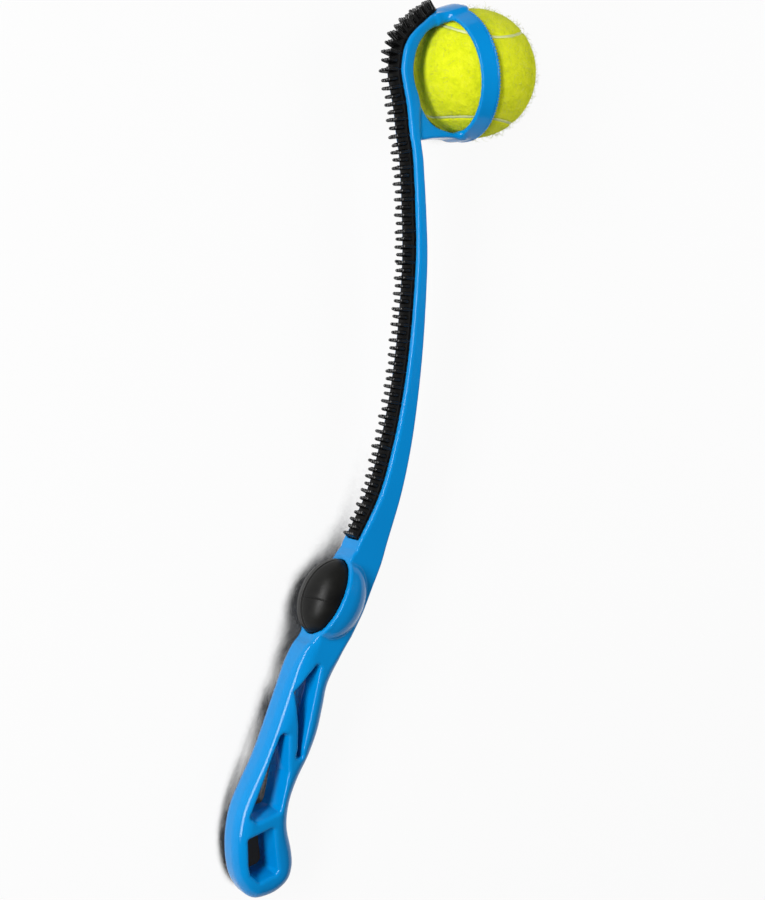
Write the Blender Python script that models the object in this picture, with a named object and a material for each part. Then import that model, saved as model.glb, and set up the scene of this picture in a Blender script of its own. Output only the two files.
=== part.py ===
"""Dog ball thrower: handle with a squeaker bulb, arm with a brush, ball cup and ball.

The side view is drawn in the thrower's mid-plane. There X runs from the arm's
root to the end of the handle, Y is the throwing side, and Z is the width, with
the mid-plane at Z = 0. The finished thrower lies on its side on the floor, on the
rim of its ball cup and the end of its handle, with its length along X.
"""
import bpy
import bmesh
from bisect import bisect_right
from math import asin, atan2, cos, pi, radians, sin, sqrt, tan
from mathutils import Matrix, Vector

MM = 0.001

# Fits
CLEARANCE = 0.3 * MM
OVERRUN = 2.0 * MM

# Ball
BALL_RADIUS = 32.5 * MM
FELT_THICKNESS = 2.9 * MM
CORE_WALL = 3.3 * MM
CORE_GAP = 0.5 * MM
SEAM_WIDTH = 1.2 * MM
SEAM_SINK = 0.4 * MM
SEAM_WIDE_SHARE = 0.818
SEAM_LEAN = radians(7.8)
SEAM_PITCH = radians(9)
SEAM_YAW = radians(37.6)

# Ball cup
CUP_LEAN = radians(10)
CUP_SETBACK = 10.0 * MM
CUP_DEPTH = 7.9 * MM
CUP_RIM_WALL = 2.4 * MM
CUP_BACK_WALL = 2.6 * MM
CUP_BACK_RELIEF = 1.0 * MM
CUP_SEGMENTS = 80

# Arm
ARM_LENGTH = 192.0 * MM
ARM_WIDTH = 16.0 * MM
ARM_ROOT_DEPTH = 18.2 * MM
ARM_EDGE_RADIUS = 1.3 * MM

# Grip
GRIP_LENGTH = 129.0 * MM
GRIP_WIDTH = 20.0 * MM
GRIP_EDGE_RADIUS = 6.0 * MM
GRIP_EDGE_LIMIT_SHARE = 0.047
WINDOW_CORNER = 0.7 * MM
WINDOW_DRAFT_SHARE = 0.92

# Brush strip
STRIP_WIDTH = 10.8 * MM
STRIP_THICKNESS = 2.4 * MM
STRIP_START = 3.0 * MM
STRIP_TOP_MARGIN = 7.5 * MM
ROW_PITCH = 3.95 * MM
SLICES = 11
BRISTLES_PER_ROW = 5
BRISTLE_BASE = 1.7 * MM
BRISTLE_TIP = 1.0 * MM
BRISTLE_LENGTH = 4.8 * MM
BRISTLE_EXTRA = 0.9 * MM

# Squeaker bulb and its socket
BULB_LENGTH = 39.4 * MM
BULB_WIDTH = 28.6 * MM
BULB_HEIGHT = 12.6 * MM
BULB_WALL = 2.2 * MM
BULB_TRAVEL = 4.0 * MM
BULB_FLANGE = 0.9 * MM
BULB_FLANGE_THICKNESS = 1.4 * MM
BULB_SEGMENTS = 28
SOCKET_LIP = 1.4 * MM
SOCKET_WALL = 1.5 * MM
SOCKET_DEPTH = 10.5 * MM
SOCKET_FLOOR = 3.6 * MM
SOCKET_SLOPE = radians(28.1)

# Squeaker
SQUEAKER_RADIUS = 7.5 * MM
SQUEAKER_HEIGHT = 4.0 * MM
SQUEAKER_WALL = 1.4 * MM
SQUEAKER_BASE = 1.0 * MM
SQUEAKER_VENT = 1.6 * MM
REED_LENGTH = 9.5 * MM
REED_WIDTH = 5.0 * MM
REED_THICKNESS = 0.4 * MM
CAP_THICKNESS = 1.5 * MM

# Arm outline: how far its back stands off at each eighth of its length, and its depth there
ARM_BACK_SHARES = (0, 0.059, 0.103, 0.134, 0.156, 0.170, 0.178, 0.177, 0.170)
ARM_DEPTH_SHARES = (1, 0.852, 0.720, 0.615, 0.544, 0.495, 0.462, 0.418, 0.396)

# Head outline in ball radii from the ball's centre: the hook's back, its inside and the web
NECK_TO_BALL_SHARES = (-1.388, 1.338)
HOOK_BACK_SHARES = (
    (1.05, -1.392), (0.65, -1.446), (0.31, -1.520), (0.12, -1.556), (-0.06, -1.542), (-0.24, -1.503),
    (-0.40, -1.425), (-0.55, -1.297), (-0.70, -1.090), (-0.87, -0.835), (-0.965, -0.580),
)
HOOK_INSIDE_SHARES = (
    (-0.800, -0.600), (-0.665, -0.830), (-0.535, -1.070), (-0.430, -1.170), (-0.330, -1.243), (-0.150, -1.317),
    (0.075, -1.354), (0.295, -1.320), (0.470, -1.250), (0.640, -1.140), (0.800, -1.030), (0.880, -0.865),
    (0.915, -0.600), (0.935, -0.320),
)
WEB_FRONT_SHARES = ((1.045, -0.320), (1.045, -0.620), (1.075, -0.925), (1.12, -1.130))

# Shoulder outline in half lengths of the socket's rim, from the arm's root
SOCKET_SHARES = (1.125, -0.634)
GRIP_START_SHARES = (2.009, -1.179)
SHOULDER_BACK_SHARES = ((0.109, -0.023), (0.281, -0.148))
SHOULDER_SHARES = (
    (2.656, -1.328), (2.656, -0.820), (2.039, -0.188), (1.531, 0.148), (1.008, 0.398), (0.492, 0.641),
)

# Grip outline in grip lengths from its start: the back, then the front
GRIP_BACK_SHARES = (
    (0.000, 0.000), (0.042, -0.038), (0.099, -0.073), (0.175, -0.107), (0.264, -0.144), (0.353, -0.181),
    (0.439, -0.221), (0.523, -0.269), (0.610, -0.312), (0.703, -0.333), (0.797, -0.337), (0.879, -0.324),
    (0.944, -0.297), (0.986, -0.258), (1.001, -0.212), (0.982, -0.174), (0.949, -0.141),
)
GRIP_FRONT_SHARES = (
    (0.902, -0.105), (0.854, -0.094), (0.804, -0.097), (0.707, -0.109), (0.617, -0.098), (0.532, -0.063),
    (0.447, -0.012), (0.358, 0.028), (0.267, 0.053), (0.178, 0.076), (0.092, 0.125),
)
GRIP_CORNER_SHARES = (0.005, 0.180)

# Window corners in grip lengths from its start
WINDOW_SHARES = (
    (
        (0.084, 0.030), (0.445, -0.060), (0.445, -0.076), (0.312, -0.075), (0.178, -0.092),
    ),
    (
        (0.329, -0.130), (0.344, -0.113), (0.488, -0.117), (0.618, -0.147), (0.635, -0.156),
        (0.658, -0.254), (0.636, -0.284), (0.343, -0.147),
    ),
    (
        (0.713, -0.293), (0.689, -0.182), (0.757, -0.177), (0.861, -0.166), (0.876, -0.179),
        (0.891, -0.248), (0.857, -0.284), (0.816, -0.291),
    ),
)

BLUE = (0.0, 0.26, 0.74)
BLACK = (0.010, 0.010, 0.011)
YELLOW = (0.75, 0.84, 0.02)
SEAM_GREY = (0.62, 0.66, 0.58)
CORE_GREY = (0.10, 0.10, 0.10)
WHITE = (0.80, 0.80, 0.78)


# Scene and materials
def clear_scene():
    for old in list(bpy.data.objects):
        bpy.data.objects.remove(old, do_unlink=True)


def material(name, color, roughness):
    made = bpy.data.materials.new(name)
    made.use_nodes = True
    shader = made.node_tree.nodes["Principled BSDF"]
    shader.inputs["Base Color"].default_value = (*color, 1)
    shader.inputs["Roughness"].default_value = roughness
    shader.inputs["Metallic"].default_value = 0
    return made


def empty(name, parent=None, matrix=None):
    made = bpy.data.objects.new(name, None)
    bpy.context.collection.objects.link(made)
    made.parent = parent
    made.matrix_local = matrix or Matrix.Identity(4)
    return made


def mesh_object(name, bm, finish, parent):
    bmesh.ops.recalc_face_normals(bm, faces=bm.faces[:])
    data = bpy.data.meshes.new(name)
    bm.to_mesh(data)
    bm.free()
    data.shade_smooth()
    data.set_sharp_from_angle(angle=radians(35))
    data.materials.append(finish)
    made = bpy.data.objects.new(name, data)
    bpy.context.collection.objects.link(made)
    made.parent = parent
    return made


def make_cutter(made):
    made.hide_render = True
    made.display_type = "WIRE"
    return made


def combine(target, other, operation):
    step = target.modifiers.new(operation.lower(), "BOOLEAN")
    step.operation = operation
    step.solver = "EXACT"
    step.object = other
    make_cutter(other)


def round_edges(target, radius, segments):
    step = target.modifiers.new("round edges", "BEVEL")
    step.width = radius
    step.segments = segments
    step.limit_method = "ANGLE"
    step.angle_limit = radians(60)


# Outlines
def scaled(shares, size, origin=(0, 0)):
    return [(origin[0] + x * size, origin[1] + y * size) for x, y in shares]


def smooth_through(points, steps):
    """A Catmull-Rom curve through the points, with the given steps between neighbours."""
    padded = [points[0], *points, points[-1]]
    curve = []
    for a, b, c, d in zip(padded, padded[1:], padded[2:], padded[3:]):
        for step in range(steps):
            t = step / steps
            curve.append(tuple(
                0.5 * (2 * q + (r - p) * t + (2 * p - 5 * q + 4 * r - s) * t**2 + (3 * q - p - 3 * r + s) * t**3)
                for p, q, r, s in zip(a, b, c, d)))
    curve.append(points[-1])
    return curve


def rounded_corners(corners, radius, steps=3):
    """A closed outline with an arc of the given radius at each corner."""
    outline = []
    for i, corner in enumerate(corners):
        here = Vector(corner)
        back = (Vector(corners[i - 1]) - here).normalized()
        ahead = (Vector(corners[(i + 1) % len(corners)]) - here).normalized()
        half = back.angle(ahead) / 2
        centre = here + (back + ahead).normalized() * (radius / sin(half))
        start = here + back * (radius / tan(half))
        end = here + ahead * (radius / tan(half))
        for step in range(steps + 1):
            spoke = (start - centre).lerp(end - centre, step / steps).normalized() * radius
            outline.append(tuple(centre + spoke))
    return outline


class Route:
    """A curve in the side view, read by its arc length from the arm's root."""

    def __init__(self, points):
        self.points = [Vector(p) for p in points]
        self.reach = [0]
        for a, b in zip(self.points, self.points[1:]):
            self.reach.append(self.reach[-1] + (b - a).length)
        self.length = self.reach[-1]

    def at(self, distance):
        i = min(max(bisect_right(self.reach, distance) - 1, 0), len(self.points) - 2)
        share = (distance - self.reach[i]) / (self.reach[i + 1] - self.reach[i])
        return self.points[i].lerp(self.points[i + 1], share)

    def normal(self, distance):
        span = ROW_PITCH
        ahead = self.at(distance + span) - self.at(distance - span)
        return Vector((-ahead.y, ahead.x)).normalized()

    def offset(self, distance, outward):
        return self.at(distance) + self.normal(distance) * outward


# Solids
def prism(name, outline, half_width, finish, parent):
    """The outline extruded to both sides of the mid-plane."""
    bm = bmesh.new()
    near = [bm.verts.new((x, y, half_width)) for x, y in outline]
    far = [bm.verts.new((x, y, -half_width)) for x, y in outline]
    bm.faces.new(near)
    bm.faces.new(reversed(far))
    for i in range(len(outline)):
        j = (i + 1) % len(outline)
        bm.faces.new((near[i], far[i], far[j], near[j]))
    return mesh_object(name, bm, finish, parent)


def inset(outline, amount):
    """The outline with each of its sides moved inward by the amount."""
    points = [Vector(p) for p in outline]
    moved = []
    for i, here in enumerate(points):
        before = (here - points[i - 1]).normalized()
        after = (points[(i + 1) % len(points)] - here).normalized()
        step = Vector((-before.y - after.y, before.x + after.x)) / (1 + before.dot(after))
        moved.append(here + step * amount)
    return moved


def pillow(name, outline, half_width, radius, steps, finish, parent):
    """The outline extruded to both sides of the mid-plane, with both rims fully rounded."""
    bm = bmesh.new()
    turns = [pi / 2 * i / steps for i in range(steps, -1, -1)]
    rims = [(half_width - radius * (1 - sin(t)), radius * (1 - cos(t))) for t in turns]
    rims += [(-z, amount) for z, amount in reversed(rims)]
    layers = [[bm.verts.new((p.x, p.y, z)) for p in inset(outline, amount)] for z, amount in rims]
    bm.faces.new(layers[0])
    bm.faces.new(reversed(layers[-1]))
    for upper, lower in zip(layers, layers[1:]):
        for i in range(len(outline)):
            j = (i + 1) % len(outline)
            bm.faces.new((upper[i], lower[i], lower[j], upper[j]))
    return mesh_object(name, bm, finish, parent)


def drafted_cutter(name, outline, half_width, finish, parent):
    """A window cutter that narrows to the mid-plane from both sides."""
    centre = sum((Vector(p) for p in outline), Vector((0, 0))) / len(outline)
    bm = bmesh.new()
    layers = []
    for z, share in ((half_width, 1), (0, WINDOW_DRAFT_SHARE), (-half_width, 1)):
        ring = [centre + (Vector(p) - centre) * share for p in outline]
        layers.append([bm.verts.new((p.x, p.y, z)) for p in ring])
    bm.faces.new(layers[0])
    bm.faces.new(reversed(layers[-1]))
    for upper, lower in zip(layers, layers[1:]):
        for i in range(len(outline)):
            j = (i + 1) % len(outline)
            bm.faces.new((upper[i], lower[i], lower[j], upper[j]))
    return mesh_object(name, bm, finish, parent)


def turned(name, profile, segments, finish, parent, closed=False):
    """Rings of (half length, half width, height) joined in order; a zero ring is a pole."""
    bm = bmesh.new()
    rings = []
    for along, across, height in profile:
        if along == 0:
            rings.append([bm.verts.new((0, 0, height))])
            continue
        rings.append([
            bm.verts.new((along * cos(2 * pi * i / segments), across * sin(2 * pi * i / segments), height))
            for i in range(segments)])
    pairs = list(zip(rings, rings[1:]))
    if closed:
        pairs.append((rings[-1], rings[0]))
    for a, b in pairs:
        for i in range(segments):
            j = (i + 1) % segments
            if len(a) == 1:
                bm.faces.new((a[0], b[i], b[j]))
            elif len(b) == 1:
                bm.faces.new((a[i], b[0], a[j]))
            else:
                bm.faces.new((a[i], b[i], b[j], a[j]))
    return mesh_object(name, bm, finish, parent)


# The side view's curves
NECK = (-ARM_LENGTH, ARM_BACK_SHARES[-1] * ARM_LENGTH)
BALL_CENTRE = tuple(n + share * BALL_RADIUS for n, share in zip(NECK, NECK_TO_BALL_SHARES))
RIM_HALF_LENGTH = BULB_LENGTH / 2 + BULB_FLANGE + CLEARANCE + SOCKET_WALL
SOCKET_CENTRE = tuple(share * RIM_HALF_LENGTH for share in SOCKET_SHARES)
GRIP_START = tuple(share * RIM_HALF_LENGTH for share in GRIP_START_SHARES)


def arm_stations(depth):
    """Points along the arm, from its root to its neck, at a share of its depth."""
    last = len(ARM_BACK_SHARES) - 1
    return [
        (-ARM_LENGTH * i / last, back * ARM_LENGTH + depth * deep * ARM_ROOT_DEPTH)
        for i, (back, deep) in enumerate(zip(ARM_BACK_SHARES, ARM_DEPTH_SHARES))]


def back_route():
    return Route(smooth_through(arm_stations(0) + scaled(HOOK_BACK_SHARES, BALL_RADIUS, BALL_CENTRE), 3))


def socket_point(along, out):
    """A point on the socket's rim line: along it towards the handle's end, and out of it."""
    along_x, along_y = cos(SOCKET_SLOPE), -sin(SOCKET_SLOPE)
    return (SOCKET_CENTRE[0] + along * along_x + out * along_y,
            SOCKET_CENTRE[1] + along * along_y - out * along_x)


def ball_radius_at(setback):
    return sqrt(BALL_RADIUS**2 - setback**2)


# Pieces of the moulding
def cup_frame():
    """The cup's axes: Z is the throwing direction, and the origin is the ball's centre."""
    return Matrix.Translation((*BALL_CENTRE, 0)) @ Matrix.Rotation(CUP_LEAN, 4, "Z") @ Matrix.Rotation(-pi / 2, 4, "X")


def make_channel(route, start, end, finish, parent, name):
    floor = -(STRIP_THICKNESS + CLEARANCE)
    half_width = STRIP_WIDTH / 2 + CLEARANCE
    count = round((end - start) / ROW_PITCH)
    places = [start + (end - start) * i / count for i in range(count + 1)]
    outline = [tuple(route.offset(s, OVERRUN)) for s in places]
    outline += [tuple(route.offset(s, floor)) for s in reversed(places)]
    return prism(name, outline, half_width, finish, parent)


def neck_distance(route):
    steps = 3
    return route.reach[steps * (len(ARM_BACK_SHARES) - 1)]


def make_arm(route, finish, parent):
    neck = neck_distance(route)
    back = [tuple(p) for p, s in zip(route.points, route.reach) if s <= neck]
    front = smooth_through(arm_stations(1), 3)
    arm = prism("arm", back + front[::-1], ARM_WIDTH / 2, finish, parent)
    round_edges(arm, ARM_EDGE_RADIUS, 2)
    combine(arm, make_channel(route, STRIP_START - CLEARANCE, neck + ROW_PITCH, finish, parent, "arm_channel"), "DIFFERENCE")
    return arm


def make_cup(route, finish, parent):
    neck = neck_distance(route)
    start = neck + CLEARANCE
    back = [tuple(route.at(start))] + [tuple(p) for p, s in zip(route.points, route.reach) if s > start]
    neck_front = arm_stations(1)[-1]
    inside = smooth_through(scaled(HOOK_INSIDE_SHARES, BALL_RADIUS, BALL_CENTRE), 2)
    web = smooth_through(scaled(WEB_FRONT_SHARES, BALL_RADIUS, BALL_CENTRE), 2)
    web.append((neck_front[0] - CLEARANCE, neck_front[1]))
    head = prism("ball_cup", back + inside + web, ARM_WIDTH / 2, finish, parent)
    round_edges(head, ARM_EDGE_RADIUS, 2)

    front, rear = CUP_SETBACK, CUP_SETBACK + CUP_DEPTH
    front_bore = ball_radius_at(front) + CLEARANCE
    rear_bore = ball_radius_at(rear) + CUP_BACK_RELIEF
    axes = empty("cup_axes", parent, cup_frame())
    ring = turned("cup_ring", [
        (front_bore + CUP_RIM_WALL, front_bore + CUP_RIM_WALL, -front),
        (rear_bore + CUP_BACK_WALL, rear_bore + CUP_BACK_WALL, -rear),
        (rear_bore, rear_bore, -rear),
        (front_bore, front_bore, -front),
    ], CUP_SEGMENTS, finish, axes, closed=True)
    slope = (front_bore - rear_bore) / CUP_DEPTH
    ahead = front_bore + slope * BALL_RADIUS
    bore = turned("cup_bore", [
        (0, 0, BALL_RADIUS - front), (ahead, ahead, BALL_RADIUS - front),
        (rear_bore, rear_bore, -rear), (0, 0, -rear),
    ], CUP_SEGMENTS, finish, axes)
    combine(head, bore, "DIFFERENCE")
    combine(head, ring, "UNION")
    channel_end = route.length - STRIP_TOP_MARGIN + CLEARANCE
    combine(head, make_channel(route, neck - ROW_PITCH, channel_end, finish, parent, "cup_channel"), "DIFFERENCE")
    return head


def make_handle(finish, parent):
    shoulder = [(CLEARANCE, 0), *scaled(SHOULDER_BACK_SHARES, RIM_HALF_LENGTH)]
    shoulder.append(socket_point(RIM_HALF_LENGTH, -SOCKET_LIP))
    shoulder += scaled(SHOULDER_SHARES, RIM_HALF_LENGTH)
    shoulder.append((CLEARANCE, ARM_ROOT_DEPTH))
    handle = prism("handle", shoulder, ARM_WIDTH / 2, finish, parent)
    round_edges(handle, ARM_EDGE_RADIUS, 2)
    outline = smooth_through(scaled(GRIP_BACK_SHARES + GRIP_FRONT_SHARES, GRIP_LENGTH, GRIP_START), 2)
    outline += scaled([GRIP_CORNER_SHARES], GRIP_LENGTH, GRIP_START)
    edge_radius = min(GRIP_EDGE_RADIUS, GRIP_LENGTH * GRIP_EDGE_LIMIT_SHARE)
    grip = pillow("grip", outline, GRIP_WIDTH / 2, edge_radius, 3, finish, parent)
    combine(handle, grip, "UNION")

    axes = empty("socket_axes", parent, socket_frame())
    opening = (BULB_LENGTH / 2 + CLEARANCE, BULB_WIDTH / 2 + CLEARANCE)
    inner = tuple(size + BULB_FLANGE for size in opening)
    outer = tuple(size + SOCKET_WALL for size in inner)
    base = -(SOCKET_DEPTH + SOCKET_FLOOR)
    reach = BULB_FLANGE_THICKNESS + SOCKET_LIP + BULB_TRAVEL + 2 * CLEARANCE
    boss = turned("socket_boss", [
        (0, 0, 0), (*opening, 0), (outer[0] - SOCKET_LIP / 2, outer[1] - SOCKET_LIP / 2, 0),
        (*outer, -SOCKET_LIP / 2), (*outer, -reach), (*inner, (base - reach) / 2),
        (opening[0] - SOCKET_FLOOR, opening[1] - SOCKET_FLOOR, base), (0, 0, base),
    ], BULB_SEGMENTS, finish, axes)
    narrow = tuple(size - SOCKET_FLOOR for size in opening)
    pocket = turned("socket_pocket", [
        (0, 0, OVERRUN), (*opening, OVERRUN), (*opening, -SOCKET_LIP), (*inner, -SOCKET_LIP),
        (*inner, -reach), (*narrow, -SOCKET_DEPTH), (0, 0, -SOCKET_DEPTH),
    ], BULB_SEGMENTS, finish, axes)
    combine(handle, boss, "UNION")
    combine(handle, pocket, "DIFFERENCE")
    for number, shares in enumerate(WINDOW_SHARES, 1):
        outline = rounded_corners(scaled(shares, GRIP_LENGTH, GRIP_START), WINDOW_CORNER)
        window = drafted_cutter(f"window_{number}", outline, GRIP_WIDTH / 2 + OVERRUN, finish, parent)
        combine(handle, window, "DIFFERENCE")
    return handle


# Brush strip
def bristle_places(row):
    """Side-to-side places of a row's bristles; every other row has one fewer, set between."""
    count = BRISTLES_PER_ROW - row % 2
    pitch = STRIP_WIDTH / BRISTLES_PER_ROW
    return [(i - (count - 1) / 2) * pitch for i in range(count)]


def bristle_length(along):
    """The bristles grow towards the top of the hook; along is a share of the strip."""
    return BRISTLE_LENGTH + BRISTLE_EXTRA * along**2


def make_brush_slice(name, route, start, rows, first_row, pitch, finish, parent):
    """A slice of the strip, flat across each row, with its bristles raised from the same faces."""
    half = STRIP_WIDTH / 2
    bm = bmesh.new()

    def line(point, places):
        return [bm.verts.new((point.x, point.y, z)) for z in places]

    edges = [start + pitch * i for i in range(rows + 1)]
    edges[0] += CLEARANCE / 2
    edges[-1] -= CLEARANCE / 2
    tops = [line(route.at(s), (-half, half)) for s in edges]
    floors = [line(route.offset(s, -STRIP_THICKNESS), (-half, half)) for s in edges]
    for row in range(rows):
        lower, upper = route.at(edges[row]), route.at(edges[row + 1])
        along = (upper - lower).normalized()
        out = Vector((-along.y, along.x))
        middle = (lower + upper) / 2
        places = bristle_places(first_row + row)
        length = bristle_length(edges[row] / route.length)
        places_z = [-half] + [z + side * BRISTLE_BASE / 2 for z in places for side in (-1, 1)] + [half]
        near = line(middle - along * BRISTLE_BASE / 2, places_z)
        far = line(middle + along * BRISTLE_BASE / 2, places_z)
        bm.faces.new([tops[row][0], *near, tops[row][1]])
        bm.faces.new([tops[row + 1][1], *reversed(far), tops[row + 1][0]])
        for i in range(0, len(places_z) - 1, 2):
            bm.faces.new((near[i], far[i], far[i + 1], near[i + 1]))
        for i, z in enumerate(places):
            base = (near[2 * i + 1], near[2 * i + 2], far[2 * i + 2], far[2 * i + 1])
            peak = middle + out * length
            reach = BRISTLE_TIP / 2
            tip = [*line(peak - along * reach, (z - reach, z + reach)), *line(peak + along * reach, (z + reach, z - reach))]
            bm.faces.new(tip)
            for j in range(4):
                k = (j + 1) % 4
                bm.faces.new((base[j], base[k], tip[k], tip[j]))
        bm.faces.new((floors[row][0], floors[row][1], floors[row + 1][1], floors[row + 1][0]))
        bm.faces.new([tops[row][0], floors[row][0], floors[row + 1][0], tops[row + 1][0], far[0], near[0]])
        bm.faces.new([tops[row][1], near[-1], far[-1], tops[row + 1][1], floors[row + 1][1], floors[row][1]])
    for side in (0, -1):
        bm.faces.new((tops[side][0], tops[side][1], floors[side][1], floors[side][0]))
    return mesh_object(name, bm, finish, parent)


def make_brush(route, finish, parent):
    length = route.length - STRIP_TOP_MARGIN - STRIP_START
    rows = round(length / ROW_PITCH)
    pitch = length / rows
    bounds = [rows * i // SLICES for i in range(SLICES + 1)]
    for number, (first, last) in enumerate(zip(bounds, bounds[1:]), 1):
        start = STRIP_START + pitch * first
        make_brush_slice(f"brush_slice_{number:02d}", route, start, last - first, first, pitch, finish, parent)


# Squeaker
def socket_frame():
    """The socket's axes: Z points out of its mouth and X towards the handle's end."""
    return (Matrix.Translation((*SOCKET_CENTRE, 0)) @ Matrix.Rotation(-SOCKET_SLOPE, 4, "Z")
            @ Matrix.Rotation(pi / 2, 4, "X"))


def make_bulb(finish, parent):
    half = (BULB_LENGTH / 2, BULB_WIDTH / 2)
    top = -(SOCKET_LIP + CLEARANCE)
    bottom = top - BULB_FLANGE_THICKNESS
    steps = 5
    outside = [(0, 0, BULB_HEIGHT)]
    inside = []
    for i in range(1, steps + 1):
        turn = pi / 2 * i / steps
        outside.append((half[0] * sin(turn), half[1] * sin(turn), BULB_HEIGHT * cos(turn)))
        inside.append(tuple((size - BULB_WALL) * sin(turn) for size in half) + ((BULB_HEIGHT - BULB_WALL) * cos(turn),))
    skirt = tuple(size - BULB_WALL for size in half)
    flange = tuple(size + BULB_FLANGE for size in half)
    profile = outside + [(*half, top), (*flange, top), (*flange, bottom), (*skirt, bottom)] + inside[::-1]
    profile.append((0, 0, BULB_HEIGHT - BULB_WALL))
    return turned("squeaker_bulb", profile, BULB_SEGMENTS, finish, parent)


def make_squeaker(plastic, reed_finish, parent):
    floor = -SOCKET_DEPTH + CLEARANCE
    top = floor + SQUEAKER_HEIGHT
    bore = SQUEAKER_RADIUS - SQUEAKER_WALL
    turned("squeaker_housing", [
        (SQUEAKER_RADIUS, SQUEAKER_RADIUS, top), (SQUEAKER_RADIUS, SQUEAKER_RADIUS, floor),
        (SQUEAKER_VENT, SQUEAKER_VENT, floor), (SQUEAKER_VENT, SQUEAKER_VENT, floor + SQUEAKER_BASE),
        (bore, bore, floor + SQUEAKER_BASE), (bore, bore, top),
    ], 28, plastic, parent, closed=True)
    reed_floor = floor + SQUEAKER_BASE + CLEARANCE
    reed = mesh_object("squeaker_reed", box(REED_LENGTH, REED_WIDTH, REED_THICKNESS), reed_finish, parent)
    reed.location.z = reed_floor + REED_THICKNESS / 2
    cap_floor = reed_floor + REED_THICKNESS + CLEARANCE
    cap = bore - CLEARANCE
    turned("squeaker_cap", [
        (cap, cap, cap_floor + CAP_THICKNESS), (cap, cap, cap_floor),
        (SQUEAKER_VENT, SQUEAKER_VENT, cap_floor), (SQUEAKER_VENT, SQUEAKER_VENT, cap_floor + CAP_THICKNESS),
    ], 28, plastic, parent, closed=True)


def box(length, width, height):
    bm = bmesh.new()
    bmesh.ops.create_cube(bm, size=1, matrix=Matrix.Diagonal((length, width, height, 1)))
    return bm


# Ball
def seam_point(turn):
    """The seam's curve on a ball of radius 1: along a lobe, towards a waist, and sideways."""
    a, b = SEAM_WIDE_SHARE, 1 - SEAM_WIDE_SHARE
    c = 2 * sqrt(a * b)
    x = a * cos(turn) + b * cos(3 * turn)
    y = a * sin(turn) - b * sin(3 * turn)
    return Vector(((x - y) / sqrt(2), c * sin(2 * turn), (x + y) / sqrt(2)))


def seam_side(turn):
    """The direction away from the first panel, along the ball's surface."""
    step = radians(1)
    return seam_point(turn).cross(seam_point(turn + step) - seam_point(turn - step)).normalized()


def panel_point(turn, tilt, radius, swap):
    """A point of a panel: along its spine, then sideways. The second panel is the first one swapped."""
    q = cos(tilt) * cos(turn)
    z = cos(tilt) * sin(turn)
    p = sin(tilt)
    return Vector((p, -z, q) if swap else (q, z, p)) * radius


def make_felt_panel(name, swap, finish, parent):
    """A dog-bone panel: strips across its spine, from one tip to the other."""
    gap = (SEAM_WIDTH / 2 + CLEARANCE) / BALL_RADIUS
    first_tip, last_tip = 7 * pi / 4, 11 * pi / 4
    steps, across = 28, 3
    rows = []
    for i in range(1, steps):
        turn = first_tip + (last_tip - first_tip) * i / steps
        edge = (seam_point(turn) - seam_side(turn) * gap).normalized()
        along = atan2(edge.y, edge.x)
        if along < -pi / 2:
            along += 2 * pi
        half = asin(edge.z)
        rows.append((along, [half * j / across for j in range(-across, across + 1)]))
    bm = bmesh.new()
    skins = []
    for radius in (BALL_RADIUS, BALL_RADIUS - FELT_THICKNESS):
        skins.append([[bm.verts.new(panel_point(along, tilt, radius, swap)) for tilt in tilts] for along, tilts in rows])
    outer, inner = skins
    for skin in skins:
        for a, b in zip(skin, skin[1:]):
            for i in range(2 * across):
                bm.faces.new((a[i], a[i + 1], b[i + 1], b[i]))
    last, wide = len(rows) - 1, 2 * across
    rim = [(k, 0) for k in range(last)] + [(last, i) for i in range(wide)]
    rim += [(k, wide) for k in range(last, 0, -1)] + [(0, i) for i in range(wide, 0, -1)]
    for (a, i), (b, j) in zip(rim, rim[1:] + rim[:1]):
        bm.faces.new((outer[a][i], outer[b][j], inner[b][j], inner[a][i]))
    return mesh_object(name, bm, finish, parent)


def make_seam(finish, parent):
    """A band of square section in the gap between the panels."""
    steps = 72
    top, bottom = BALL_RADIUS - SEAM_SINK, BALL_RADIUS - FELT_THICKNESS
    half = (SEAM_WIDTH - CLEARANCE) / 2
    bm = bmesh.new()
    rings = []
    for i in range(steps):
        turn = 2 * pi * i / steps
        here, side = seam_point(turn), seam_side(turn) * half
        rings.append([bm.verts.new(here * r + side * s) for r, s in ((top, -1), (top, 1), (bottom, 1), (bottom, -1))])
    for a, b in zip(rings, rings[1:] + rings[:1]):
        for i in range(4):
            j = (i + 1) % 4
            bm.faces.new((a[i], a[j], b[j], b[i]))
    return mesh_object("ball_seam", bm, finish, parent)


def make_core(name, side, finish, parent):
    """Half of the hollow core, split across its middle."""
    outer = BALL_RADIUS - FELT_THICKNESS - CORE_GAP
    inner = outer - CORE_WALL
    steps = 4
    edge = CLEARANCE / 2
    profile = []
    for radius, order in ((outer, range(steps + 1)), (inner, range(steps, -1, -1))):
        start = asin(edge / radius)
        for i in order:
            turn = pi / 2 - (pi / 2 - start) * i / steps
            profile.append((radius * cos(turn) if i else 0,) * 2 + (side * radius * sin(turn),))
    return turned(name, profile, 24, finish, parent)


# Laying the thrower on its side
def lay_matrix():
    """Turn the chord from cup to handle end along X, and tip the mid-plane onto its two supports."""
    end = Vector(scaled([(1, GRIP_BACK_SHARES[-1][1])], GRIP_LENGTH, GRIP_START)[0])
    chord = end - Vector(BALL_CENTRE)
    turn = -atan2(chord.y, chord.x)
    cup_half = ball_radius_at(CUP_SETBACK) + CLEARANCE + CUP_RIM_WALL
    tip = asin((cup_half - GRIP_WIDTH / 2) / chord.length)
    return Matrix.Rotation(tip, 4, "Y") @ Matrix.Rotation(turn, 4, "Z")


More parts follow.
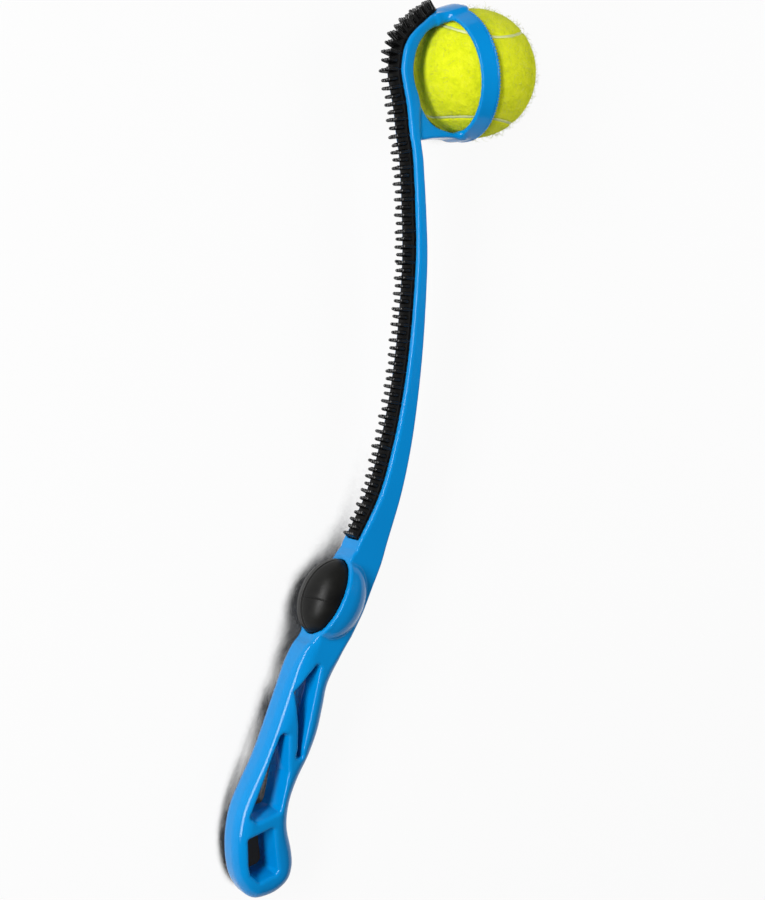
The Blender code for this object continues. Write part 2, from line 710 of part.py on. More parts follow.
def rest_on_floor(mid_plane):
    """Move the thrower so that it stands on Z = 0 with its box centred on the origin."""
    bpy.context.view_layer.update()
    depsgraph = bpy.context.evaluated_depsgraph_get()
    corners = []
    for made in bpy.context.collection.objects:
        if made.type == "MESH" and not made.hide_render:
            shape = made.evaluated_get(depsgraph)
            corners += [shape.matrix_world @ v.co for v in shape.data.vertices]
    low = Vector(min(c[i] for c in corners) for i in range(3))
    high = Vector(max(c[i] for c in corners) for i in range(3))
    middle = (low + high) / 2
    mid_plane.location = mid_plane.location - Vector((middle.x, middle.y, low.z))


def main():
    clear_scene()
    blue = material("blue_plastic", BLUE, 0.22)
    black = material("black_rubber", BLACK, 0.45)
    brush_black = material("brush_rubber", BLACK, 0.55)
    felt = material("yellow_felt", YELLOW, 0.95)
    seam = material("seam_rubber", SEAM_GREY, 0.7)
    core = material("core_rubber", CORE_GREY, 0.8)
    white = material("squeaker_plastic", WHITE, 0.4)

    mid_plane = empty("mid_plane", None, lay_matrix())
    route = back_route()
    make_handle(blue, mid_plane)
    make_arm(route, blue, mid_plane)
    make_cup(route, blue, mid_plane)
    make_brush(route, brush_black, mid_plane)

    make_bulb(black, empty("bulb_press_axis", mid_plane, socket_frame()))
    make_squeaker(white, white, empty("squeaker_axis", mid_plane, socket_frame()))

    throw = empty("ball_release_axis", mid_plane, cup_frame())
    seam_turn = (Matrix.Rotation(SEAM_YAW, 4, "X") @ Matrix.Rotation(SEAM_PITCH, 4, "Y")
                 @ Matrix.Rotation(-SEAM_LEAN, 4, "Z"))
    shown = Matrix(((0, 0, -1, 0), (-1, 0, 0, 0), (0, 1, 0, 0), (0, 0, 0, 1)))
    spin = empty("ball_spin", throw, (cup_frame().to_3x3().inverted() @ seam_turn.to_3x3() @ shown.to_3x3()).to_4x4())
    make_felt_panel("felt_panel_a", False, felt, spin)
    make_felt_panel("felt_panel_b", True, felt, spin)
    make_seam(seam, spin)
    make_core("ball_core_a", 1, core, spin)
    make_core("ball_core_b", -1, core, spin)
    rest_on_floor(mid_plane)


main()
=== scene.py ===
"""Looks of the dog ball thrower: one blue moulding, its brush strip, its squeaker bulb and the ball.

The side view is drawn in the thrower's mid-plane, as in the part's own source. There X
points from the arm's root to the end of the handle, Y to the throwing side, and Z across
the width. The moulding is one seamless skin round a distance field of its forms.
"""

from math import cos, pi, radians, sin, sqrt

import bmesh
import bpy
import numpy as np
from mathutils import Matrix, Vector


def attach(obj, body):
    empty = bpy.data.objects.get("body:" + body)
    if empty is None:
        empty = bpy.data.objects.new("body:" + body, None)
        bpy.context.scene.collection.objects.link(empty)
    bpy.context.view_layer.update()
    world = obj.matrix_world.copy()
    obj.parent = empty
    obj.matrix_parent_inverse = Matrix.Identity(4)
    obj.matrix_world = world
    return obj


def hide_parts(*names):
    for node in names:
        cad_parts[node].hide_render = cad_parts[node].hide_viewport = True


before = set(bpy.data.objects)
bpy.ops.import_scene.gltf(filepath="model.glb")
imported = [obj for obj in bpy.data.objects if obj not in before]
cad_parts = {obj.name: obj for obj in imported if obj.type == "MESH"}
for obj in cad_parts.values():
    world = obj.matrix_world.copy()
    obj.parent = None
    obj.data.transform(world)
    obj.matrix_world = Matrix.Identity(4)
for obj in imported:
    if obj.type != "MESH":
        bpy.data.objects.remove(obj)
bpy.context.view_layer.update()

MM = 0.001
CLEARANCE = 0.3 * MM

# Where the mid-plane lies
LAY_TURN = radians(16.365)
LAY_TIP = radians(3.1606)
LAY_PLACE = (49.113 * MM, 4.799 * MM, 20.118 * MM)

# Ball and its felt
BALL_RADIUS = 32.5 * MM
FELT_CUTS = 89
FELT_SINK = 0.35 * MM
FELT_LUMPS = (
    (0.05 * MM, {"scale": 24, "seed": 5, "waves": 26}),
    (0.07 * MM, {"scale": 90, "seed": 6, "waves": 40}),
)
LUMP_SPREAD = (0.6, 1.4)

# Seam of the ball
SEAM_WIDTH = 1.7 * MM
SEAM_WIDE_SHARE = 0.808
SEAM_LEAN = radians(2.9)
SEAM_PITCH = radians(12.4)
SEAM_YAW = radians(23.6)
SEAM_SINK = 0.95 * MM
SEAM_RISE = 0.38 * MM
SEAM_WOBBLE = 0.16
SEAM_LUMPS = {"scale": 40, "seed": 9, "waves": 26}
SEAM_STEPS = 420
SEAM_SIDES = 8
SEAM_PROBE = 0.01
SEAM_SAMPLES = 900
SEAM_BATCH = 4000
GROOVE_DEPTH = 0.9 * MM
GROOVE_WIDTH = 0.66 * SEAM_WIDTH

# Fibres of the felt
NAP = {"count": 14000, "length": 1.3 * MM, "width": 0.07 * MM, "seed": 3, "curl": 0.8, "rise": 0.5}
LOOSE_FIBRES = {"count": 1900, "length": 4.6 * MM, "width": 0.085 * MM, "seed": 4, "curl": 1.3, "rise": 1.3}
FIBRE_SEAM_GAP = 0.45 * SEAM_WIDTH
FIBRE_LENGTHS = (0.55, 1.3)
FIBRE_LEANS = (0.3, 1.0)
FIBRE_DROOPS = (-0.25, 0.1)
FIBRE_STRAY = 0.25
FIBRE_ROOT_SINK = 0.6 * MM
FIBRE_TAPER = 0.75
FIBRE_STEPS = 5
FIBRE_SIDES = 3

# Ball cup
CUP_LEAN = radians(10)
CUP_SETBACK = 10.0 * MM
CUP_DEPTH = 7.9 * MM
CUP_RIM_WALL = 2.4 * MM
CUP_BACK_WALL = 2.6 * MM
CUP_BACK_RELIEF = 1.0 * MM
CUP_ROUND = 0.7 * MM
WEB_HALF_WIDTH = 6.6 * MM
WEB_EDGE_RADIUS = 1.2 * MM
NOSE_SAG = 3.2 * MM
NOSE_REACH = 8.0 * MM
FLARE_REACH = 13.0 * MM
FLARE_HALF_WIDTH = 13.5 * MM
FLARE_EDGE = 1.6 * MM
TEETH = 130
TOOTH_HEIGHT = 1.1 * MM
TOOTH_SUNK = 0.5 * MM
TOOTH_INNER_INSET = 0.6 * CUP_ROUND
TOOTH_OUTER_INSET = 0.15 * MM
TOOTH_BEVEL_WIDTH = 0.2 * MM
TOOTH_BEVEL_HEIGHT = 0.1 * MM

# Arm
ARM_LENGTH = 192.0 * MM
ARM_WIDTH = 16.0 * MM
ARM_ROOT_DEPTH = 18.2 * MM
ARM_EDGE_RADIUS = 1.3 * MM
BACK_EDGE_RADIUS = 1.9 * MM
BACK_EDGE_REACH = 12.0 * MM

# Grip
GRIP_LENGTH = 129.0 * MM
GRIP_WIDTH = 20.0 * MM
GRIP_EDGE_RADIUS = 7.8 * MM
GRIP_SWELL = 0.45 * MM
GRIP_START_EDGE = 1.8 * MM
GRIP_GROWTH_SHARES = (-0.08, 0.20)
WINDOW_CORNER = 1.6 * MM
WINDOW_DRAFT = 1.5 * MM
WINDOW_RIM = 2.0 * MM

# Brush strip
STRIP_WIDTH = 9.8 * MM
STRIP_THICKNESS = 2.4 * MM
STRIP_PROUD = 1.3 * MM
STRIP_START = 3.0 * MM
STRIP_TOP_MARGIN = 9.5 * MM
STRIP_TAPER = 11.0 * MM
STRIP_EDGE = 0.4 * MM
STRIP_BEVEL_SHARE = 0.3
STRIP_STEPS = 260
TAPER_STEPS = 14
TAPER_SHARES = (0.08, 0.995)
CHANNEL_RISE = 2 * STRIP_THICKNESS

# Bristles: each ring is a share of their length, and a share of the width at their base
ROW_PITCH = 3.95 * MM
ROW_SHIFT = -0.9 * MM
BRISTLES_PER_ROW = 5
BRISTLE_BASE = 2.2 * MM
BRISTLE_LENGTH = 6.3 * MM
BRISTLE_EXTRA = 0.9 * MM
BRISTLE_TOP_LOSS = 1.6 * MM
BRISTLE_TOP_POWER = 40
BRISTLE_SHORT_ROW = 0.3 * MM
BRISTLE_ROOT_LOSS = 2.2 * MM
BRISTLE_ROOT_REACH = 55.0 * MM
BRISTLE_RINGS = (
    (-0.04, 1.12), (0.12, 1.0), (0.50, 0.90), (0.82, 0.80), (0.90, 0.74), (0.955, 0.58), (0.985, 0.37),
    (1.0, 0.12),
)
BRISTLE_SIDES = 8
BRISTLE_LEAN = 0.035
BRISTLE_SEED = 11
BRUSH_SHARP_ANGLE = radians(50)

# Squeaker bulb, with the raised crest and the fine parting line on its dome
BULB_LENGTH = 39.4 * MM
BULB_WIDTH = 28.6 * MM
BULB_HEIGHT = 12.6 * MM
BULB_FLANGE = 0.9 * MM
BULB_WALL = 2.2 * MM
BULB_TURNS = 320
BULB_RINGS = 110
BULB_INSIDE_RINGS = 24
BULB_SHARP_ANGLE = radians(40)
CREST_ACROSS = -1.2 * MM
CREST_REACH = 12.0 * MM
CREST_WIDTH = 0.5 * MM
CREST_HEIGHT = 0.24 * MM
CREST_TROUGH_SHARE = 0.7
LINE_ALONG = 5.2 * MM
LINE_LEAN = -0.2
LINE_WIDTH = 0.30 * MM
LINE_DEPTH = 0.42 * MM
LINE_START = 0.3 * MM

# Socket of the bulb
SOCKET_LIP = 1.4 * MM
SOCKET_WALL = 1.5 * MM
SOCKET_REACH = 7.4 * MM
SOCKET_DEPTH = 10.5 * MM
SOCKET_FLOOR = 3.6 * MM
SOCKET_SLOPE = radians(28.1)
POCKET_RISE = 4 * SOCKET_REACH
BOWL_DEPTH = 19.6 * MM
BOWL_WALL = 4.0 * MM
BOSS_EXTRA = 0.4 * MM

# Fillets where the moulding's forms join, and roundings where they are cut
FLARE_FILLET = 2.0 * MM
WEB_FILLET = 1.6 * MM
GRIP_FILLET = 4.0 * MM
RING_FILLET = 5.0 * MM
BOSS_FILLET = 1.0 * MM
NOSE_ROUND = 0.8 * MM
BORE_ROUND = 0.9 * MM
POCKET_ROUND = 0.5 * MM
CHANNEL_ROUND = 0.4 * MM

# Arm outline: how far its back stands off at each eighth of its length, and its depth there
NECK_BACK_SHARE = 0.170
ARM_BACK_SHARES = (0.002, 0.0746, 0.1176, 0.1481, 0.1690, 0.1825, 0.1905, 0.1880, 0.1804)
ARM_DEPTH_SHARES = (0.98, 0.687, 0.566, 0.467, 0.407, 0.363, 0.330, 0.303, 0.286)

# Head outline in ball radii from the ball's centre
NECK_TO_BALL_SHARES = (-1.388, 1.338)
HOOK_BACK_SHARES = (
    (1.01, -1.340), (0.625, -1.391), (0.300, -1.462), (0.115, -1.497), (-0.058, -1.483),
    (-0.231, -1.446), (-0.385, -1.371), (-0.529, -1.248), (-0.673, -1.075), (-0.800, -0.915),
    (-0.905, -0.760), (-0.965, -0.600), (-0.995, -0.470),
)
HOOK_INSIDE_SHARES = (
    (-0.772, -0.579), (-0.655, -0.800), (-0.520, -1.032), (-0.415, -1.129), (-0.318, -1.199),
    (-0.145, -1.271), (0.072, -1.307), (0.285, -1.276), (0.454, -1.208), (0.60, -1.180),
    (0.75, -1.190), (0.95, -1.185), (1.12, -1.165),
)
FLARE_SHARES = (
    (-0.790, -0.930), (-0.872, -0.790), (-0.940, -0.600), (-0.958, -0.430), (-0.860, -0.420),
    (-0.740, -0.560), (-0.700, -0.700), (-0.620, -0.850),
)
WEB_CURVE_SHARES = (
    (0.470, -1.230), (0.640, -1.118), (0.800, -0.995), (0.900, -0.845), (0.958, -0.600), (0.985, -0.320),
)
WEB_CORNER_SHARES = (
    (1.045, -0.320), (1.045, -0.620), (1.075, -0.925), (1.12, -1.130), (1.13, -1.300), (0.80, -1.340),
)

# Shoulder outline in half lengths of the socket's rim, from the arm's root
SOCKET_SHARES = (1.125, -0.634)
GRIP_START_SHARES = (2.009, -1.179)
SHOULDER_BACK_SHARES = ((0.365, -0.205), (0.280, -0.190), (0.211, -0.133), (0.107, -0.026))
SHOULDER_FRONT_SHARES = ((0.492, 0.641), (1.008, 0.398), (1.531, 0.148), (2.039, -0.188))
SHOULDER_END_SHARES = ((2.656, -0.820), (2.656, -1.328))

# Grip outline in grip lengths from its start: the back, the front, then the corner under the shoulder
GRIP_BACK_SHARES = (
    (-0.120, 0.088), (-0.015, 0.016), (0.016, -0.018), (0.045, -0.041), (0.099, -0.073),
    (0.175, -0.107), (0.264, -0.144), (0.353, -0.181), (0.439, -0.221), (0.523, -0.269),
    (0.610, -0.312), (0.703, -0.333), (0.790, -0.335), (0.862, -0.324), (0.913, -0.301),
    (0.948, -0.272), (0.963, -0.235), (0.956, -0.166),
)
GRIP_FRONT_SHARES = (
    (0.922, -0.110), (0.868, -0.088), (0.804, -0.091), (0.707, -0.109), (0.617, -0.098),
    (0.532, -0.063), (0.447, -0.012), (0.358, 0.028), (0.267, 0.053), (0.178, 0.076), (0.092, 0.125),
)
GRIP_CORNER_SHARES = (-0.100, 0.215)

# Window corners, anticlockwise, in grip lengths from the grip's start
WINDOW_SHARES = (
    ((0.183, -0.085), (0.312, -0.072), (0.445, -0.076), (0.445, -0.060), (0.064, 0.039)),
    (
        (0.343, -0.147), (0.636, -0.284), (0.658, -0.254), (0.635, -0.156),
        (0.618, -0.147), (0.488, -0.117), (0.344, -0.113), (0.329, -0.130),
    ),
    (
        (0.816, -0.291), (0.857, -0.284), (0.891, -0.248), (0.876, -0.179),
        (0.861, -0.166), (0.757, -0.177), (0.689, -0.182), (0.713, -0.293),
    ),
)

# Steps between neighbouring points of a smooth outline
BACK_STEPS = 8
FRONT_STEPS = 6
GRIP_STEPS = 8
ROUTE_STEPS = 12

# The skin's lattice, and how its points settle on the surface
STEP = 0.8 * MM
MARGIN = 4.0 * MM
PROBE = 0.12 * MM
SETTLE_PASSES = 3
LEAST_SLOPE = 0.3
TINY = 1e-9

# Camera
CAMERA_DISTANCE = 709.0 * MM
CAMERA_TARGET = (-46.0 * MM, 20.0 * MM, 0)
CAMERA_LEAN = radians(34)
CAMERA_TURN = radians(6.1)
CAMERA_NEAR = 10.0 * MM
SENSOR_HEIGHT = 24.0
LENS = 37.333

# Light, and the floor with its reach and rise in metres, and the painted shade that darkens the floor's glow
# close under things
WORLD_LIGHT = 0.14
FLOOR_REACH = 6.0
FLOOR_RISE = 1.2
FLOOR_COLOUR = (0.6, 0.6, 0.6, 1)
FLOOR_WHITE_SHARE = 0.93
# Painted shade: ambient occlusion within this reach darkens the floor's glow, down to FLOOR_DARK between
# these two places
FLOOR_SHADE_REACH = 26.0 * MM
FLOOR_DARK_PLACE = 0.45
FLOOR_CLEAR_PLACE = 0.53
FLOOR_DARK = 0.01

# Most of a noise texture's values lie between these
NOISE_LOW = 0.3
NOISE_HIGH = 0.7

# Places and sizes worked out from those above
MID_PLANE = (Matrix.Translation(LAY_PLACE) @ Matrix.Rotation(LAY_TIP, 4, "Y")
             @ Matrix.Rotation(LAY_TURN, 4, "Z"))
NECK = (-ARM_LENGTH, NECK_BACK_SHARE * ARM_LENGTH)
BALL_CENTRE = tuple(n + share * BALL_RADIUS for n, share in zip(NECK, NECK_TO_BALL_SHARES))
CUP_REAR = CUP_SETBACK + CUP_DEPTH
CUP_FRONT_BORE = sqrt(BALL_RADIUS**2 - CUP_SETBACK**2) + CLEARANCE
CUP_REAR_BORE = sqrt(BALL_RADIUS**2 - CUP_REAR**2) + CUP_BACK_RELIEF
RIM_HALF_LENGTH = BULB_LENGTH / 2 + BULB_FLANGE + CLEARANCE + SOCKET_WALL
SOCKET_CENTRE = tuple(share * RIM_HALF_LENGTH for share in SOCKET_SHARES)
GRIP_START = tuple(share * RIM_HALF_LENGTH for share in GRIP_START_SHARES)
BALL_PLACE = MID_PLANE @ Matrix.Translation((*BALL_CENTRE, 0))
CUP = BALL_PLACE @ Matrix.Rotation(CUP_LEAN, 4, "Z") @ Matrix.Rotation(-pi / 2, 4, "X")
SOCKET = (MID_PLANE @ Matrix.Translation((*SOCKET_CENTRE, 0)) @ Matrix.Rotation(-SOCKET_SLOPE, 4, "Z")
          @ Matrix.Rotation(pi / 2, 4, "X"))
SEAM_FACING = Matrix(((0, 0, -1), (-1, 0, 0), (0, 1, 0))).to_4x4()
BALL = (BALL_PLACE @ Matrix.Rotation(SEAM_YAW, 4, "X") @ Matrix.Rotation(SEAM_PITCH, 4, "Y")
        @ Matrix.Rotation(-SEAM_LEAN, 4, "Z") @ SEAM_FACING)


def scaled(shares, size, origin=(0, 0)):
    """Points of the side view from shares of a size."""
    return [(origin[0] + x * size, origin[1] + y * size) for x, y in shares]


def smooth_through(points, steps):
    """A Catmull-Rom curve through the points, with the given steps between neighbours."""
    padded = [points[0], *points, points[-1]]
    curve = []
    for a, b, c, d in zip(padded, padded[1:], padded[2:], padded[3:]):
        for step in range(steps):
            t = step / steps
            curve.append(tuple(
                0.5 * (2 * q + (r - p) * t + (2 * p - 5 * q + 4 * r - s) * t**2
                       + (3 * q - p - 3 * r + s) * t**3)
                for p, q, r, s in zip(a, b, c, d)))
    curve.append(points[-1])
    return curve


def inset(outline, amount):
    """The anticlockwise outline with each of its sides moved inward by the amount."""
    points = [Vector(p) for p in outline]
    moved = []
    for i, here in enumerate(points):
        before = (here - points[i - 1]).normalized()
        after = (points[(i + 1) % len(points)] - here).normalized()
        step = Vector((-before.y - after.y, before.x + after.x)) / (1 + before.dot(after))
        moved.append(tuple(here + step * amount))
    return moved


# Outlines of the moulding
def arm_stations(depth):
    """The arm's nine stations, on its back at depth 0 and on its front at depth 1."""
    last = len(ARM_BACK_SHARES) - 1
    return [
        (-ARM_LENGTH * i / last, back * ARM_LENGTH + depth * deep * ARM_ROOT_DEPTH)
        for i, (back, deep) in enumerate(zip(ARM_BACK_SHARES, ARM_DEPTH_SHARES))]


def socket_point(along, out):
    """A point of the side view, from its place along the socket's rim and out of it."""
    along_x, along_y = cos(SOCKET_SLOPE), -sin(SOCKET_SLOPE)
    return (SOCKET_CENTRE[0] + along * along_x + out * along_y,
            SOCKET_CENTRE[1] + along * along_y - out * along_x)


BACK_POINTS = arm_stations(0) + scaled(HOOK_BACK_SHARES, BALL_RADIUS, BALL_CENTRE)


def spine_outline():
    """Shoulder, arm and hook in one closed outline, out by the back and home by the front."""
    outline = [socket_point(RIM_HALF_LENGTH, -SOCKET_LIP)]
    outline += scaled(SHOULDER_BACK_SHARES, RIM_HALF_LENGTH)
    outline += smooth_through(BACK_POINTS, BACK_STEPS)
    outline += smooth_through(scaled(HOOK_INSIDE_SHARES, BALL_RADIUS, BALL_CENTRE), FRONT_STEPS)
    front = arm_stations(1)[::-1] + scaled(SHOULDER_FRONT_SHARES, RIM_HALF_LENGTH)
    outline += smooth_through(front, FRONT_STEPS)
    return outline + scaled(SHOULDER_END_SHARES, RIM_HALF_LENGTH)


def web_outline():
    """The web that carries the ring, curved inside and straight where it is buried in the arm."""
    curve = smooth_through(scaled(WEB_CURVE_SHARES, BALL_RADIUS, BALL_CENTRE), FRONT_STEPS)
    return curve + scaled(WEB_CORNER_SHARES, BALL_RADIUS, BALL_CENTRE)


def grip_outline():
    """The grip, round its back, its end and its front to the corner under the shoulder."""
    shares = GRIP_BACK_SHARES + GRIP_FRONT_SHARES
    curve = smooth_through(scaled(shares, GRIP_LENGTH, GRIP_START), GRIP_STEPS)
    return curve + scaled([GRIP_CORNER_SHARES], GRIP_LENGTH, GRIP_START)


def window_outline(shares):
    """A window's outline, drawn in by the radius that rounds its corners."""
    return inset(scaled(shares, GRIP_LENGTH, GRIP_START), WINDOW_CORNER)


class Route:
    """The back's curve in the side view, read by its arc length from the arm's root."""

    def __init__(self, points):
        self.points = np.array(points)
        spans = np.hypot(*np.diff(self.points, axis=0).T)
        self.reach = np.concatenate(([0], np.cumsum(spans)))
        self.length = self.reach[-1]

    def at(self, distance):
        return np.stack([np.interp(distance, self.reach, self.points[:, i]) for i in (0, 1)], axis=-1)

    def normal(self, distance):
        ahead = self.at(distance + ROW_PITCH / 2) - self.at(distance - ROW_PITCH / 2)
        return unit(np.stack([-ahead[..., 1], ahead[..., 0]], axis=-1))

    def offset(self, distance, outward):
        return self.at(distance) + self.normal(distance) * outward


def unit(vectors):
    return vectors / np.linalg.norm(vectors, axis=-1, keepdims=True)


ROUTE = Route(smooth_through(BACK_POINTS, ROUTE_STEPS))
STRIP_END = ROUTE.length - STRIP_TOP_MARGIN


def strip_half_width(distance):
    """The strip's half width: even, then running out to a rounded point at the top of the hook."""
    into = np.clip((distance - (STRIP_END - STRIP_TAPER)) / STRIP_TAPER, 0, 1)
    return STRIP_WIDTH / 2 * np.sqrt(1 - into**2)


# Distance fields
def outline_distance(outline, x, y):
    """Distance from a closed outline, negative inside it."""
    best = np.full(np.broadcast(x, y).shape, np.inf)
    inside = np.zeros(best.shape, bool)
    for (ax, ay), (bx, by) in zip(outline, outline[1:] + outline[:1]):
        ex, ey = bx - ax, by - ay
        size = ex * ex + ey * ey
        if size == 0:
            continue
        wx, wy = x - ax, y - ay
        t = np.clip((wx * ex + wy * ey) / size, 0, 1)
        best = np.minimum(best, (wx - ex * t)**2 + (wy - ey * t)**2)
        if ey:
            inside ^= ((ay > y) != (by > y)) & (x < ax + wy * ex / ey)
    return np.where(inside, -1, 1) * np.sqrt(best)


def route_distance(x, y):
    """Arc length of the nearest point of the back, and the distance out from it."""
    best = np.full(x.shape, np.inf)
    along = np.zeros(x.shape)
    out = np.zeros(x.shape)
    points, reach = ROUTE.points, ROUTE.reach
    for i in range(len(points) - 1):
        ex, ey = points[i + 1] - points[i]
        span = reach[i + 1] - reach[i]
        if span == 0:
            continue
        wx, wy = x - points[i][0], y - points[i][1]
        t = np.clip((wx * ex + wy * ey) / span**2, 0, 1)
        away = (wx - ex * t)**2 + (wy - ey * t)**2
        nearer = away < best
        best = np.where(nearer, away, best)
        along = np.where(nearer, reach[i] + t * span, along)
        out = np.where(nearer, np.sign(ex * wy - ey * wx) * np.sqrt(away), out)
    return along, out


def ellipse_distance(places, radii):
    """About the distance from an ellipse or an ellipsoid, negative inside it."""
    near = np.sqrt(sum((place / radius)**2 for place, radius in zip(places, radii)))
    steep = np.sqrt(sum((place / radius**2)**2 for place, radius in zip(places, radii))) + TINY
    return near * (near - 1) / steep


def join(a, b, blend):
    """Both forms, with a fillet of about the blend's size between them."""
    near = np.maximum(blend - np.abs(a - b), 0) / blend
    return np.minimum(a, b) - near * near * blend / 4


def cut(a, b, blend):
    """The first form less the second, with the rim rounded."""
    return -join(-a, b, blend)


def extruded(flat, z, half_width, edge):
    """The flat form to both sides of the mid-plane, with its edges rounded."""
    u = flat + edge
    v = np.abs(z) - half_width + edge
    return np.minimum(np.maximum(u, v), 0) + np.hypot(np.maximum(u, 0), np.maximum(v, 0)) - edge


def eased(share):
    """A smooth rise from 0 to 1."""
    share = np.clip(share, 0, 1)
    return share * share * (3 - 2 * share)


# Forms of the moulding
def flare_half_width(along):
    """Half width of the hook where it widens towards the ring."""
    start = STRIP_END - FLARE_REACH
    growth = eased((along - start) / (ROUTE.length - start))
    return ARM_WIDTH / 2 + (FLARE_HALF_WIDTH - ARM_WIDTH / 2) * growth


def nose_waste(z, along, out):
    """What the hook's top loses to its crowned nose: nothing before the nose, then its two shoulders."""
    start = STRIP_END - NOSE_REACH
    sag = NOSE_SAG * eased((along - start) / NOSE_REACH) * (z / flare_half_width(along))**2
    return np.where(along > start, -out - sag, MARGIN)


def back_edge(z, along, out):
    """The wide rounding of the back's two edges, which grows out of the shoulder."""
    edge = ARM_EDGE_RADIUS + (BACK_EDGE_RADIUS - ARM_EDGE_RADIUS) * eased(along / BACK_EDGE_REACH)
    u, v = out + edge, np.abs(z) - ARM_WIDTH / 2 + edge
    rounded = np.hypot(np.maximum(u, 0), np.maximum(v, 0)) - edge
    return np.where((along > 0) & (along < STRIP_END) & (u > 0) & (v > 0), rounded, -MARGIN)


def spine_form(z, flat):
    """Shoulder, arm and hook, with the hook's flare and its crowned nose."""
    form = extruded(flat["spine"], z, ARM_WIDTH / 2, ARM_EDGE_RADIUS)
    form = np.maximum(form, back_edge(z, flat["along"], flat["out"]))
    flare = extruded(flat["flare"], z, flare_half_width(flat["along"]), FLARE_EDGE)
    return cut(join(form, flare, FLARE_FILLET), nose_waste(z, flat["along"], flat["out"]), NOSE_ROUND)


def grip_form(x, z, flat):
    """The grip, which grows wider and rounder from its start."""
    first, last = (GRIP_START[0] + share * GRIP_LENGTH for share in GRIP_GROWTH_SHARES)
    grown = eased((x - first) / (last - first))
    half_width = ARM_WIDTH / 2 + (GRIP_WIDTH - ARM_WIDTH) / 2 * grown
    edge = GRIP_START_EDGE + (GRIP_EDGE_RADIUS - GRIP_START_EDGE) * grown
    return extruded(flat["grip"] - GRIP_SWELL * grown, z, half_width, edge)


def with_cup(body, x, y, z):
    """The body with the cup's ring, and with the ball's place bored out of both."""
    dx, dy = x - BALL_CENTRE[0], y - BALL_CENTRE[1]
    ahead = dy * cos(CUP_LEAN) - dx * sin(CUP_LEAN)
    radius = np.hypot(dx * cos(CUP_LEAN) + dy * sin(CUP_LEAN), z)
    section = [
        (CUP_FRONT_BORE, -CUP_SETBACK), (CUP_REAR_BORE, -CUP_REAR),
        (CUP_REAR_BORE + CUP_BACK_WALL, -CUP_REAR), (CUP_FRONT_BORE + CUP_RIM_WALL, -CUP_SETBACK),
    ]
    ring = outline_distance(inset(section, CUP_ROUND), radius, ahead) - CUP_ROUND
    slope = (CUP_FRONT_BORE - CUP_REAR_BORE) / CUP_DEPTH
    cone = (radius - CUP_REAR_BORE - (ahead + CUP_REAR) * slope) / sqrt(1 + slope**2)
    bore = np.maximum(np.maximum(cone, -CUP_REAR - ahead), ahead - BALL_RADIUS)
    ball = np.sqrt(dx**2 + dy**2 + z**2) - BALL_RADIUS - CLEARANCE
    return cut(join(body, ring, RING_FILLET), np.minimum(bore, ball), BORE_ROUND)


def with_socket(body, x, y, z):
    """The body with the boss round the bulb, and with the pocket for the bulb and the squeaker."""
    dx, dy = x - SOCKET_CENTRE[0], y - SOCKET_CENTRE[1]
    out = -dx * sin(SOCKET_SLOPE) - dy * cos(SOCKET_SLOPE)
    along = dx * cos(SOCKET_SLOPE) - dy * sin(SOCKET_SLOPE)
    half_length, half_width = BULB_LENGTH / 2 + CLEARANCE, BULB_WIDTH / 2 + CLEARANCE
    wall = BULB_FLANGE + SOCKET_WALL + BOSS_EXTRA
    radii = (half_length + wall, half_width + wall, BOWL_DEPTH - BOWL_WALL)
    boss = ellipse_distance((along, z, np.minimum(out + BOWL_WALL, 0)), radii)
    boss = cut(boss, -out, SOCKET_LIP)
    rim = ellipse_distance((along, z), (half_length, half_width))
    pocket = outline_distance([
        (-half_width, POCKET_RISE), (-half_width, -SOCKET_DEPTH), (-SOCKET_FLOOR, -SOCKET_DEPTH),
        (BULB_FLANGE, -SOCKET_REACH), (BULB_FLANGE, -SOCKET_LIP), (0, -SOCKET_LIP), (0, POCKET_RISE),
    ], rim, out)
    return cut(join(body, boss, BOSS_FILLET), pocket, POCKET_ROUND)


def channel_form(z, flat):
    """The strip's channel in the back, with the space above it."""
    sides = np.abs(z) - strip_half_width(flat["along"]) - CLEARANCE
    form = np.maximum(sides, -STRIP_THICKNESS - CLEARANCE - flat["out"])
    form = np.maximum(form, STRIP_START - CLEARANCE - flat["along"])
    form = np.maximum(form, flat["along"] - STRIP_END - CLEARANCE)
    return np.maximum(form, flat["out"] - CHANNEL_RISE)


def moulding(x, y, z, flat):
    """Distance from the skin of the blue moulding, from the outlines' distances in the mid-plane."""
    web = extruded(flat["web"], z, WEB_HALF_WIDTH, WEB_EDGE_RADIUS)
    body = join(spine_form(z, flat), web, WEB_FILLET)
    body = join(body, grip_form(x, z, flat), GRIP_FILLET)
    body = with_socket(with_cup(body, x, y, z), x, y, z)
    body = cut(body, channel_form(z, flat), CHANNEL_ROUND)
    draft = (1 - np.minimum(np.abs(z) / (GRIP_WIDTH / 2), 1)) * WINDOW_DRAFT
    for number in range(len(WINDOW_SHARES)):
        body = cut(body, flat[f"window_{number}"] - WINDOW_CORNER + draft, WINDOW_RIM)
    return body


# Surface from the field
def lattice_axis(low, high):
    return np.arange(low - MARGIN, high + MARGIN, STEP)


def cubic_weights(t):
    """Catmull-Rom weights of the four lattice points round a place."""
    return (
        0.5 * (-t + 2 * t**2 - t**3), 0.5 * (2 - 5 * t**2 + 3 * t**3),
        0.5 * (t + 4 * t**2 - 3 * t**3), 0.5 * (t**3 - t**2))


